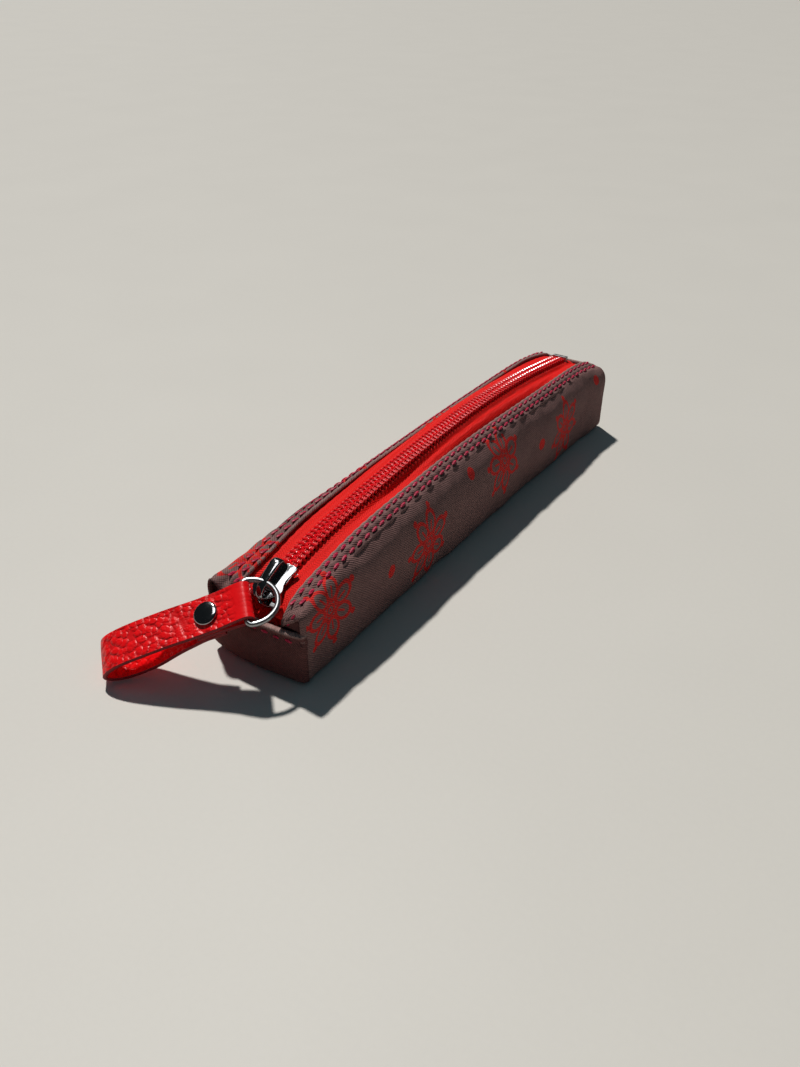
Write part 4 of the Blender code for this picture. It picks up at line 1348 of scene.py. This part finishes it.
class PENCASE_OT_tape_ends(bpy.types.Operator):
    """Ends of the tapes, turned down behind the front hem"""

    bl_idname = "pencase.tape_ends"
    bl_label = "Tape ends"

    def execute(self, context):
        sizes = context.scene.zip_sizes
        rows, marks = [], []
        for j in range(41):
            run = mix(0.0020, 0.0130, j / 40)
            row, mark = [], []
            for i in range(31):
                x = mix(-HALF_MOUTH + 0.0004, HALF_MOUTH - 0.0004, i / 30)
                level = mix(0.0150, 0.0200, ease(j / 26))
                side_rise = 0.0014 * (abs(x) / HALF_MOUTH) ** 2
                fold = 0.0003 * sin(abs(x) * 1900)
                row.append(Vector((x, run, level + side_rise + fold)))
                mark.append((run, x + 0.02))
            rows.append(row)
            marks.append(mark)
        shape = sheet(rows, marks, flip=True)
        item = keep_piece("tape_ends", shape, ("tape_weave",), "zip_tape_weave", "case")
        thicken(item, sizes.tape)
        return {"FINISHED"}


def directions(points, closed=False):
    """Unit directions along a line of points."""
    last = len(points) - 1
    found = []
    for i in range(len(points)):
        before = points[i - 1] if (i or closed) else points[0]
        after = points[(i + 1) % len(points)] if (i < last or closed) else points[last]
        found.append((after - before).normalized())
    return found


def round_wire(shape, points, radii, sides, closed=False, up=Vector((0, 0, 1))):
    """Round wire along a line that stays near one plane."""
    rings = []
    for point, ahead, radius in zip(points, directions(points, closed), radii):
        across = up.cross(ahead)
        if across.length < 1e-4:
            across = Vector((1, 0, 0))
        across.normalize()
        off = ahead.cross(across)
        rings.append([point + across * radius * cos(2 * pi * k / sides)
                      + off * radius * sin(2 * pi * k / sides) for k in range(sides)])
    add_tube(shape, rings, closed)


# How much thicker a tooth is at its head, and how far it slants along the chain
HEAD_SWELL = 0.30
SLANT = 0.00012


class PENCASE_OT_teeth(bpy.types.Operator):
    """Interlocking nylon teeth and the thread that sews them to the tapes"""

    bl_idname = "pencase.teeth"
    bl_label = "Zip teeth"

    def execute(self, context):
        sizes = context.scene.zip_sizes
        rise, root, reach = sizes.tooth_rise, sizes.tooth_root, sizes.tooth_reach
        loop = [(root * 0.80, -rise * 0.62), (root, -rise * 0.10), (root * 0.90, rise * 0.66),
                (root * 0.55, rise), (0.0004, rise * 0.86), (-reach, rise * 0.12),
                (-reach * 0.7, -rise * 0.60)]
        radii = [sizes.wire / 2 * (1 + HEAD_SWELL * bump(i / (len(loop) - 1), 0.86, 0.16))
                 for i in range(len(loop))]
        for side, name in ((-1, "left"), (1, "right")):
            teeth, sewing = bmesh.new(), bmesh.new()
            sewing.loops.layers.uv.new("UVMap")
            count = int((CHAIN_END - CHAIN_START) / TOOTH_PITCH)
            for k in range(count):
                run = CHAIN_START + TOOTH_PITCH * (k + (0.75 if side > 0 else 0.25))
                climb = atan2(slope_of(chain_height, run, 0.0005), 1)
                place = Matrix.Translation((0, run, chain_height(run)))
                place = place @ Matrix.Rotation(climb, 4, "X")
                apart = parting(run)
                points = [place @ Vector((side * (x + apart), side * SLANT * (x / root - 0.5), z))
                          for x, z in loop]
                round_wire(teeth, points, radii, 6, up=place.to_3x3().col[1].normalized())
                for x, lift in ((root * 0.90, 0.62), (root * 0.42, 0.95)):
                    spot = place @ Vector((side * (x + apart), TOOTH_PITCH * 0.5, rise * lift))
                    add_stitch(sewing, spot, place.to_3x3().col[1],
                               place.to_3x3().col[2], TOOTH_PITCH * 0.74, 0.00040, 0.35 * side)
            cord = self.cord(side, sizes)
            for shape in (teeth, sewing, cord):
                close_ends(shape)
            for piece, made, material, replaced in (
                    ("tooth_cord_", cord, "tooth_cord", ()),
                    ("teeth_", teeth, "nylon", ("zip_teeth_" + name,)),
                    ("tooth_thread_", sewing, "tooth_thread", ())):
                item = keep_piece(piece + name, made, (material,), "zip_nylon", None, replaced)
                turn_partly(item, "case", "zip_flap_" + name, OPENING_SHARE)
        return {"FINISHED"}

    def cord(self, side, sizes):
        """Cord that fills one row of teeth, flattened under their crowns."""
        shape, rings = bmesh.new(), []
        inner, outer = 0.00010, sizes.tooth_root - 0.00025
        middle, half, high = (inner + outer) / 2, (outer - inner) / 2, sizes.tooth_rise * 0.66
        count = 220
        for i in range(count + 1):
            run = mix(CHAIN_START, CHAIN_END, i / count)
            at = Vector((side * (parting(run) + middle), run, chain_height(run)))
            rings.append([at + Vector((side * half * cos(pi * k / 5), 0, high * sin(pi * k / 5)))
                          for k in range(10)])
        add_tube(shape, rings)
        return shape


class PENCASE_OT_stops(bpy.types.Operator):
    """Metal stops at the ends of the chain, carried over from the frame"""

    bl_idname = "pencase.stops"
    bl_label = "Zip stops"

    def execute(self, context):
        for name in ("top_stop_left", "top_stop_right", "end_stop"):
            node = frame["nodes"][name]
            node.data.materials.clear()
            node.data.materials.append(finish("steel"))
        return {"FINISHED"}


# Slider, ring and leather


# Half the level strip along the upper plate's middle
RIDGE = 0.0024
# The web under the bridge: its front, and how far it stands proud of the bridge
WEB_FRONT = -0.0021
WEB_PROUD = 0.00002


def slider_place():
    slope = Matrix.Rotation(atan2(slope_of(frame_chain_height, SLIDER_RUN, 0.0007), 1), 4, "X")
    return Matrix.Translation((0, SLIDER_RUN, frame_chain_height(SLIDER_RUN))) @ slope


def flat_plate(shape, outline, low, high, edge, slope=0):
    """A bevelled plate of the given outline between two heights.

    Its upper face falls away to both sides by the given slope.
    """
    corners = [shape.verts.new((x, y, low)) for x, y in outline]
    face = shape.faces.new(corners)
    raised = bmesh.ops.extrude_face_region(shape, geom=[face])["geom"]
    moved = [item for item in raised if isinstance(item, bmesh.types.BMVert)]
    bmesh.ops.translate(shape, verts=moved, vec=(0, 0, high - low))
    own = set(corners + moved)
    if slope:
        for x in (-RIDGE, RIDGE):
            faces = {f for v in own for f in v.link_faces}
            edges = {e for f in faces for e in f.edges}
            split = bmesh.ops.bisect_plane(shape, geom=[*own, *edges, *faces], dist=1e-7,
                                           plane_co=(x, 0, 0), plane_no=(1, 0, 0))
            own |= {v for v in split["geom_cut"] if isinstance(v, bmesh.types.BMVert)}
        for vertex in own:
            if vertex.co.z > (low + high) / 2:
                vertex.co.z -= slope * max(0, abs(vertex.co.x) - RIDGE)
    whole = list({f for v in own for f in v.link_faces})
    bmesh.ops.recalc_face_normals(shape, faces=whole)
    rims = [e for e in {e for f in whole for e in f.edges}
            if len(e.link_faces) == 2 and e.calc_face_angle(0) > 1.0
            and abs(e.verts[0].co.z - e.verts[1].co.z) < 0.0003]
    bmesh.ops.bevel(shape, geom=rims, offset=edge, segments=3, profile=0.5,
                    affect="EDGES", material=-1)


def rounded_box(shape, low, high, edge):
    """A bevelled box between two corners."""
    made = bmesh.ops.create_cube(shape, size=1)["verts"]
    for vertex in made:
        vertex.co = [a + (b - a) * (c + 0.5) for a, b, c in zip(low, high, vertex.co)]
    edges = list({e for v in made for e in v.link_edges})
    bmesh.ops.bevel(shape, geom=edges, offset=edge, segments=3, profile=0.5,
                    affect="EDGES", material=-1)


def mirrored(right):
    """Closed outline from its right half, whose heights are shares of half the slider."""
    right = [(x, y * SLIDER_LENGTH / 2) for x, y in right]
    return right + [(-x, y) for x, y in reversed(right)]


def plate_outline():
    """Hourglass outline of the slider's plates, nose towards the front."""
    right = [(0.0008, -1.0), (0.0017, -0.975), (0.0025, -0.90), (0.0032, -0.79),
             (0.0040, -0.66), (0.0046, -0.53), (0.0049, -0.40), (0.00475, -0.24),
             (0.0042, -0.02), (0.0040, 0.18), (0.00415, 0.42), (0.00455, 0.76),
             (0.0047, 0.90), (0.0045, 0.985), (0.0040, 1.0)]
    return mirrored(right)


class PENCASE_OT_slider(bpy.types.Operator):
    """Slider: two plates, their flanges, the wedge and the bridge for the ring"""

    bl_idname = "pencase.slider"
    bl_label = "Slider"

    def execute(self, context):
        sizes = context.scene.pull_sizes
        half = SLIDER_LENGTH / 2
        low_plate = PLATE_TOP - PLATE_THICKNESS
        shape = bmesh.new()
        flat_plate(shape, plate_outline(), low_plate, PLATE_TOP, 0.00014, 0.28)
        flat_plate(shape, plate_outline(), -PLATE_TOP, -low_plate, sizes.edge)
        wedge = [(0.00013, -0.50), (0.0005, -0.56), (0.00085, -0.72), (0.0005, -0.94)]
        flat_plate(shape, mirrored(wedge), -low_plate - 0.0002, low_plate + 0.0002, 0.00008)
        for side in (-1, 1):
            inner, outer = side * 0.00345, side * 0.0044
            for level in (-1, 1):
                z = sorted((level * 0.00066, level * (low_plate + 0.0003)))
                x = sorted((inner, outer))
                rounded_box(shape, (x[0], half * 0.06, z[0]), (x[1], half * 0.92, z[1]), 0.00016)
        self.bridge(shape, sizes, half)
        lean = Matrix.Translation((0, -0.0009, -0.0004)) @ Matrix.Rotation(radians(4), 4, "X")
        bmesh.ops.transform(shape, verts=shape.verts, matrix=slider_place() @ lean)
        keep_piece("slider_cast", shape, ("gunmetal",), "dark_nickel", "slider",
                   ("slider_body",), sharp=50)
        return {"FINISHED"}

    def bridge(self, shape, sizes, half):
        """Arched bar from the rear of the upper plate to its nose."""
        top, foot = PLATE_TOP + 0.0037, PLATE_TOP - 0.0005
        route = [(0.87, 0.0), (0.868, 0.46), (0.80, 0.84), (0.62, 0.99), (0.32, 0.99),
                 (0.0, 0.94), (-0.34, 0.85), (-0.62, 0.74), (-0.81, 0.55),
                 (-0.91, 0.30), (-0.95, 0.0)]
        middle = [Vector((0, half * y, mix(foot, top, z) - sizes.bridge / 2 * min(1, z / 0.5)))
                  for y, z in route]
        line = smooth_line(middle, 5)
        wide = [mix(0.00170, 0.00115, ease(i / (len(line) - 1) * 1.05)) for i in range(len(line))]
        rounded = ((-1, -0.8), (-0.92, -1), (0.92, -1), (1, -0.8), (1, 0.30), (0.90, 0.62),
                   (0.68, 0.84), (0.36, 0.96), (0, 1.0), (-0.36, 0.96), (-0.68, 0.84),
                   (-0.90, 0.62), (-1, 0.30))
        rings = []
        for place, ahead, half_wide in zip(line, directions(line), wide):
            off = Vector((1, 0, 0)).cross(ahead)
            rings.append([place + Vector((half_wide * x, 0, 0)) - off * sizes.bridge / 2 * z
                          for x, z in rounded])
        add_tube(shape, rings)
        self.web(shape, line, wide, foot)
        close_ends(shape)

    def web(self, shape, line, wide, foot):
        """Solid rear half of the bridge, behind the ring's eye."""
        rim = [Vector((-half_wide - WEB_PROUD, place.y, place.z))
               for place, half_wide in zip(line, wide) if place.y > WEB_FRONT]
        rim += [Vector((rim[i].x, rim[i].y, foot)) for i in (-1, 0)]
        face = shape.faces.new([shape.verts.new(place) for place in rim])
        for item in bmesh.ops.extrude_face_region(shape, geom=[face])["geom"]:
            if isinstance(item, bmesh.types.BMVert):
                item.co.x = -item.co.x


def ring_place():
    """Place of the ring's bar: X along it, Y towards the eye, Z off the ring's plane."""
    bar = BAR_DIRECTION.normalized()
    reach = (RING_DIRECTION - bar * RING_DIRECTION.dot(bar)).normalized()
    turn = Matrix((bar, reach, bar.cross(reach))).transposed().to_4x4()
    eye = slider_place() @ Vector((0, -EYE_FORWARD, PLATE_TOP + EYE_RISE))
    across = -RING_HALF * cos(EYE_ANGLE)
    deep = RING_CORNER + (RING_DEPTH - RING_CORNER) * sin(EYE_ANGLE)
    return Matrix.Translation(eye - bar * across - reach * deep) @ turn


def ring_line():
    """Closed D: half an ellipse, two corners and the straight bar."""
    points = []
    flat = RING_HALF - RING_CORNER
    for i in range(49):
        angle = pi * i / 48
        points.append((RING_HALF * cos(angle),
                       RING_CORNER + (RING_DEPTH - RING_CORNER) * sin(angle), 0))
    for centre, start, first in ((-flat, pi, 1), (flat, 1.5 * pi, 0)):
        for i in range(first, 8 + first):
            angle = start + pi / 2 * i / 8
            points.append((centre + RING_CORNER * cos(angle), RING_CORNER * (1 + sin(angle)), 0))
        if centre < 0:
            points += [(mix(-flat, flat, i / 6), 0, 0) for i in range(1, 6)]
    return [Vector(p) for p in points]


class PENCASE_OT_ring(bpy.types.Operator):
    """Ring of round wire through the bridge and the leather"""

    bl_idname = "pencase.ring"
    bl_label = "Pull ring"

    def execute(self, context):
        shape = bmesh.new()
        line = ring_line()
        round_wire(shape, line, [WIRE / 2 + 0.0001] * len(line), 20, closed=True)
        close_ends(shape)
        bmesh.ops.transform(shape, verts=shape.verts, matrix=ring_place())
        keep_piece("ring_wire", shape, ("steel",), "bright_steel", "ring", ("pull_ring",))
        return {"FINISHED"}


def strap_place():
    turn = Matrix.Rotation(pi, 4, "Z") @ Matrix.Rotation(-PULL_DROOP, 4, "X")
    return ring_place() @ turn


def strap_line():
    """Middle of the leather, from its tail round the bar and out to the loop and back."""
    ply = LEATHER + PLY_GAP
    fold = WIRE / 2 + 0.00015 + LEATHER / 2
    front, tail, back = ply / 2, -ply / 2, -1.5 * ply
    bend = PULL_LENGTH - LEATHER / 2
    line = [(RIVET_REACH + CAP_RADIUS + 0.0006, tail), (RIVET_REACH, tail),
            (RIVET_REACH - CAP_RADIUS, tail), (RIVET_REACH * 0.4, mix(tail, -fold, 0.6)),
            (fold * 0.6, -fold)]
    for i in range(1, 8):
        angle = pi / 2 + pi * i / 8
        line.append((fold * cos(angle), -fold * sin(angle)))
    line += [(fold * 0.6, fold), (RIVET_REACH * 0.4, mix(front, fold, 0.6)),
             (RIVET_REACH - CAP_RADIUS, front), (RIVET_REACH, front),
             (RIVET_REACH + CAP_RADIUS, front)]
    loop = ((0.55, -0.06), (0.80, -0.02), (0.94, 0.16), (1.0, 0.50), (0.965, 0.84),
            (0.86, 1.04), (0.70, 1.0))
    line += [(bend * along, front - LOOP_DEPTH * depth) for along, depth in loop]
    line += [(bend * 0.50, mix(back, front - LOOP_DEPTH, 0.42)),
             (RIVET_REACH + CAP_RADIUS, back), (RIVET_REACH, back),
             (RIVET_REACH - CAP_RADIUS, back)]
    return smooth_line([Vector((0, y, z)) for y, z in line], 8)


def fold_run():
    """Distance along the strap at which it is furthest round the bar."""
    line = strap_line()
    lowest = min(range(len(line)), key=lambda i: line[i].y)
    return length_of(line[:lowest + 1])


FOLD_RUN = fold_run()


class PENCASE_OT_strap(bpy.types.Operator):
    """Leather strap, folded round the ring and looped back to the rivet"""

    bl_idname = "pencase.strap"
    bl_label = "Leather strap"

    def execute(self, context):
        sizes = context.scene.pull_sizes
        raw = strap_line()
        total = length_of(raw)
        count = int(ceil(total / 0.00028))
        line = even_line(raw, [total * i / count for i in range(count + 1)])
        along = directions(line)
        outline, trim = self.outline(sizes)
        rows, marks = [], []
        for i, place in enumerate(line):
            gone = total * i / count
            off = Vector((1, 0, 0)).cross(along[i])
            row = []
            for x, z in outline:
                face_side = abs(z) > LEATHER / 2 * 0.9
                push = self.crease(gone, x, z, sizes) if face_side else 0
                wave = 0.00010 * noise.noise(Vector((gone * 150, x * 200, 4)))
                sway = 0.00014 * noise.noise(Vector((gone * 90, 0.4 if x > 0 else 9.1, 2)))
                row.append(place + Vector((x + sway, 0, 0)) + off * (z + push + wave))
            rows.append(row)
            marks.append([(gone, x + (0.05 if z < 0 else 0) + z) for x, z in outline])
        shape = sheet(rows, marks, trim=trim)
        bmesh.ops.remove_doubles(shape, verts=shape.verts, dist=1e-7)
        store = shape.loops.layers.uv["cloth"]
        for cap in close_ends(shape):
            cap.material_index = 1
            for loop in cap.loops:
                loop[store].uv = (0, loop.vert.co.x)
        bmesh.ops.transform(shape, verts=shape.verts, matrix=strap_place())
        item = keep_piece("leather_strap", shape, ("leather", "leather_edge"), "red_leather",
                          None, ("strap_loop",))
        turn_partly(item, "ring", "pull", SWING_SHARE)
        return {"FINISHED"}

    def outline(self, sizes):
        """Closed section of the leather, and which of its points lie on the cut edges."""
        half, thick, edge, columns = sizes.strap_width / 2, LEATHER / 2, 0.00022, 44
        points, trim = [], []
        for side in (1, -1):
            points += [(side * mix(edge - half, half - edge, i / columns), side * thick)
                       for i in range(columns + 1)]
            for i in range(1, 6):
                angle = pi * i / 6
                trim.append(len(points))
                points.append((side * (half - edge + edge * sin(angle)),
                               side * thick * cos(angle)))
        return points + [points[0]], trim

    def crease(self, gone, x, z, sizes):
        """Fine creases that run round the fold, on its outer face."""
        off = gone - FOLD_RUN
        near = bump(off, 0, 0.0026)
        if z < 0 or near < 0.02:
            return 0
        depth = 0
        for k, place in enumerate((-0.0041, -0.0024, -0.0009, 0.0004, 0.0021, 0.0037)):
            bend = 0.00025 * sin(off * 900 + k * 1.9)
            strength = 0.65 + 0.5 * noise.noise(Vector((off * 300, k * 3.3, 1)))
            depth -= sizes.crease * strength * bump(x + bend, place, 0.00026)
        return depth * near


def turned(shape, profile, steps):
    """A solid of revolution about Z: the profile runs top to bottom at +X."""
    verts = [shape.verts.new((radius, 0, height)) for radius, height in profile]
    edges = [shape.edges.new(pair) for pair in zip(verts, verts[1:])]
    bmesh.ops.spin(shape, geom=verts + edges, cent=(0, 0, 0), axis=(0, 0, 1),
                   angle=2 * pi, steps=steps, use_merge=True)
    bmesh.ops.remove_doubles(shape, verts=shape.verts, dist=1e-7)
    bmesh.ops.recalc_face_normals(shape, faces=shape.faces)


class PENCASE_OT_rivet(bpy.types.Operator):
    """Domed rivet cap and its flat back"""

    bl_idname = "pencase.rivet"
    bl_label = "Rivet"

    def execute(self, context):
        sizes = context.scene.pull_sizes
        ply = LEATHER + PLY_GAP
        front, back = ply / 2 + LEATHER / 2, -1.5 * ply - LEATHER / 2
        place = strap_place() @ Matrix.Translation((0, RIVET_REACH, 0))
        base, height = front - 0.00008, sizes.cap_height
        dome = [(0, base + height)]
        for i in range(1, 13):
            angle = pi / 2 * i / 12
            reach = CAP_RADIUS * sin(angle) ** 0.92
            dome.append((reach, base + height * 0.34 + height * 0.66 * cos(angle) ** 0.8))
        dome += [(CAP_RADIUS, base + height * 0.16), (CAP_RADIUS * 0.955, base),
                 (0.0011, base), (0.0011, back), (0, back)]
        radius = 0.0031
        foot = [(0, back + 0.00008), (radius * 0.97, back + 0.00008), (radius, back - 0.0002),
                (radius * 0.97, back - 0.00045), (radius * 0.88, back - 0.00062),
                (radius * 0.5, back - 0.00072), (radius * 0.42, back - 0.00060),
                (0, back - 0.00056)]
        for name, profile, steps, replaced in (("rivet_dome", dome, 48, "rivet_cap"),
                                               ("rivet_foot", foot, 40, "rivet_back")):
            shape = bmesh.new()
            turned(shape, profile, steps)
            bmesh.ops.transform(shape, verts=shape.verts, matrix=place)
            item = keep_piece(name, shape, ("gunmetal",), "dark_nickel", None, (replaced,))
            turn_partly(item, "ring", "pull", SWING_SHARE)
        return {"FINISHED"}


# Light of the room as it falls on things, as the metal mirrors it and as the backdrop shows
FILL_LIGHT = (0.56, 0.98, 1.22)
ROOM_IN_METAL = (0.014, 0.017, 0.019)
BACKDROP = (0.50, 0.52, 0.53)
# Directions from the slider to the lamps that its metal mirrors
WING_MIRROR = (-0.070, -0.060, 0.996)
BRIDGE_MIRROR = (-0.620, 0.480, 0.620)
MIRROR_DISTANCE = 0.75
# Camera fitted to the photo: its place in metres, and yaw, pitch and roll in degrees
CAMERA_PLACE = (0.1533, -0.2642, 0.1805)
CAMERA_TURN = (-32.9, 31.6, 0.18)


class PENCASE_OT_stage(bpy.types.Operator):
    """Pale table top, lamps and camera"""

    bl_idname = "pencase.stage"
    bl_label = "Stage"

    def execute(self, context):
        scene = context.scene
        settings = scene.stage_sizes
        shape = bmesh.new()
        bmesh.ops.create_grid(shape, x_segments=2, y_segments=2, size=settings.table_half)
        bmesh.ops.translate(shape, verts=shape.verts, vec=(0, LENGTH / 2, -0.00002))
        table = keep_piece("table_top", shape, ("table",), None)
        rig.stage(table)
        self.world(scene, settings)
        self.lamps(scene, settings)
        self.camera(scene)
        scene.view_settings.view_transform = "Standard"
        return {"FINISHED"}

    def world(self, scene, settings):
        """Room: pale as a backdrop, dark in the metal, and between them as a fill."""
        world = bpy.data.worlds.new("room")
        scene.world = world
        world.use_nodes = True
        nodes, links = world.node_tree.nodes, world.node_tree.links
        paths = nodes.new("ShaderNodeLightPath")
        seen = nodes.new("ShaderNodeMath")
        seen.operation = "MAXIMUM"
        links.new(paths.outputs["Is Camera Ray"], seen.inputs[0])
        links.new(paths.outputs["Is Transmission Ray"], seen.inputs[1])
        mirrored = nodes.new("ShaderNodeMix")
        mirrored.data_type = "RGBA"
        links.new(paths.outputs["Is Glossy Ray"], mirrored.inputs[0])
        mirrored.inputs[6].default_value = (*paint_scaled(FILL_LIGHT, settings.fill), 1)
        mirrored.inputs[7].default_value = (*ROOM_IN_METAL, 1)
        tone = nodes.new("ShaderNodeMix")
        tone.data_type = "RGBA"
        links.new(seen.outputs[0], tone.inputs[0])
        links.new(mirrored.outputs[2], tone.inputs[6])
        tone.inputs[7].default_value = (*BACKDROP, 1)
        background = nodes["Background"]
        links.new(tone.outputs[2], background.inputs["Color"])
        background.inputs["Strength"].default_value = 1.0

    def lamps(self, scene, settings):
        sun = bpy.data.lights.new("key", "SUN")
        sun.energy = settings.sun
        sun.angle = radians(3.0)
        sun.color = (1.0, 0.985, 0.955)
        self.aim(scene, sun, Vector((-0.50, 0.35, 1.0)), Vector((0, 0, 0)))
        zip_front = Vector((0, -0.090, 0.028))
        for name, ahead, wide, long, power in (
                ("softbox", WING_MIRROR, 0.34, 0.34, settings.softbox),
                ("strip", BRIDGE_MIRROR, 0.06, 0.22, settings.softbox * 0.06)):
            box = bpy.data.lights.new(name, "AREA")
            box.shape = "RECTANGLE"
            box.size, box.size_y, box.energy = wide, long, power
            place = zip_front + Vector(ahead) * MIRROR_DISTANCE
            item = self.aim(scene, box, place, zip_front)
            item.visible_diffuse = False

    def aim(self, scene, lamp, place, target):
        item = bpy.data.objects.new(lamp.name, lamp)
        scene.collection.objects.link(item)
        item.location = place
        item.rotation_euler = (target - place).to_track_quat("-Z", "Y").to_euler()
        return item

    def camera(self, scene):
        lens = bpy.data.cameras.new("photo_view")
        lens.sensor_fit = "HORIZONTAL"
        lens.sensor_width, lens.lens = 36, 45
        lens.clip_start, lens.clip_end = 0.01, 50
        item = bpy.data.objects.new("photo_view", lens)
        scene.collection.objects.link(item)
        yaw, pitch, roll = (radians(angle) for angle in CAMERA_TURN)
        ahead = Vector((sin(yaw) * cos(pitch), cos(yaw) * cos(pitch), -sin(pitch)))
        right = Vector((cos(yaw), -sin(yaw), 0))
        up = right.cross(ahead)
        turn = Matrix((right, up, -ahead)).transposed().to_4x4()
        item.matrix_world = (Matrix.Translation(CAMERA_PLACE) @ turn
                             @ Matrix.Rotation(roll, 4, "Z"))
        scene.camera = item


class PENCASE_PT_panel(bpy.types.Panel):
    """Lists the pieces of the pen case and their sizes"""

    bl_idname = "PENCASE_PT_panel"
    bl_label = "Pen case"
    bl_space_type = "VIEW_3D"
    bl_region_type = "UI"
    bl_category = "Pen case"

    def draw(self, context):
        for group in GROUPS:
            box = self.layout.box()
            box.label(text=group.__doc__)
            settings = getattr(context.scene, GROUPS[group])
            for name in group.__annotations__:
                box.prop(settings, name)
        column = self.layout.column(align=True)
        for piece in PIECES:
            column.operator(piece.bl_idname)


GROUPS = {ClothSizes: "cloth_sizes", ZipSizes: "zip_sizes", PullSizes: "pull_sizes",
          Finishes: "finishes", StageSizes: "stage_sizes"}
PIECES = (PENCASE_OT_stage, PENCASE_OT_side_cloths, PENCASE_OT_end_cloths,
          PENCASE_OT_corner_ears, PENCASE_OT_base_cloth, PENCASE_OT_stitching,
          PENCASE_OT_tapes, PENCASE_OT_tape_ends, PENCASE_OT_teeth, PENCASE_OT_stops,
          PENCASE_OT_slider, PENCASE_OT_ring, PENCASE_OT_strap, PENCASE_OT_rivet)


def register():
    for group, name in GROUPS.items():
        bpy.utils.register_class(group)
        setattr(bpy.types.Scene, name, bpy.props.PointerProperty(type=group))
    for piece in PIECES:
        bpy.utils.register_class(piece)
    bpy.utils.register_class(PENCASE_PT_panel)


def unregister():
    bpy.utils.unregister_class(PENCASE_PT_panel)
    for piece in reversed(PIECES):
        bpy.utils.unregister_class(piece)
    for group, name in reversed(GROUPS.items()):
        delattr(bpy.types.Scene, name)
        bpy.utils.unregister_class(group)


def plain(box):
    return [list(corner) if hasattr(corner, "__len__") else corner for corner in box]


def main():
    register()
    before = plain(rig.bounds())
    for piece in PIECES:
        group, name = piece.bl_idname.split(".")
        getattr(getattr(bpy.ops, group), name)()
    after = plain(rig.bounds())
    with open("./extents.json", "w") as file:
        json.dump({"frame": before, "visual": after}, file)


if __name__ == "__main__":
    main()
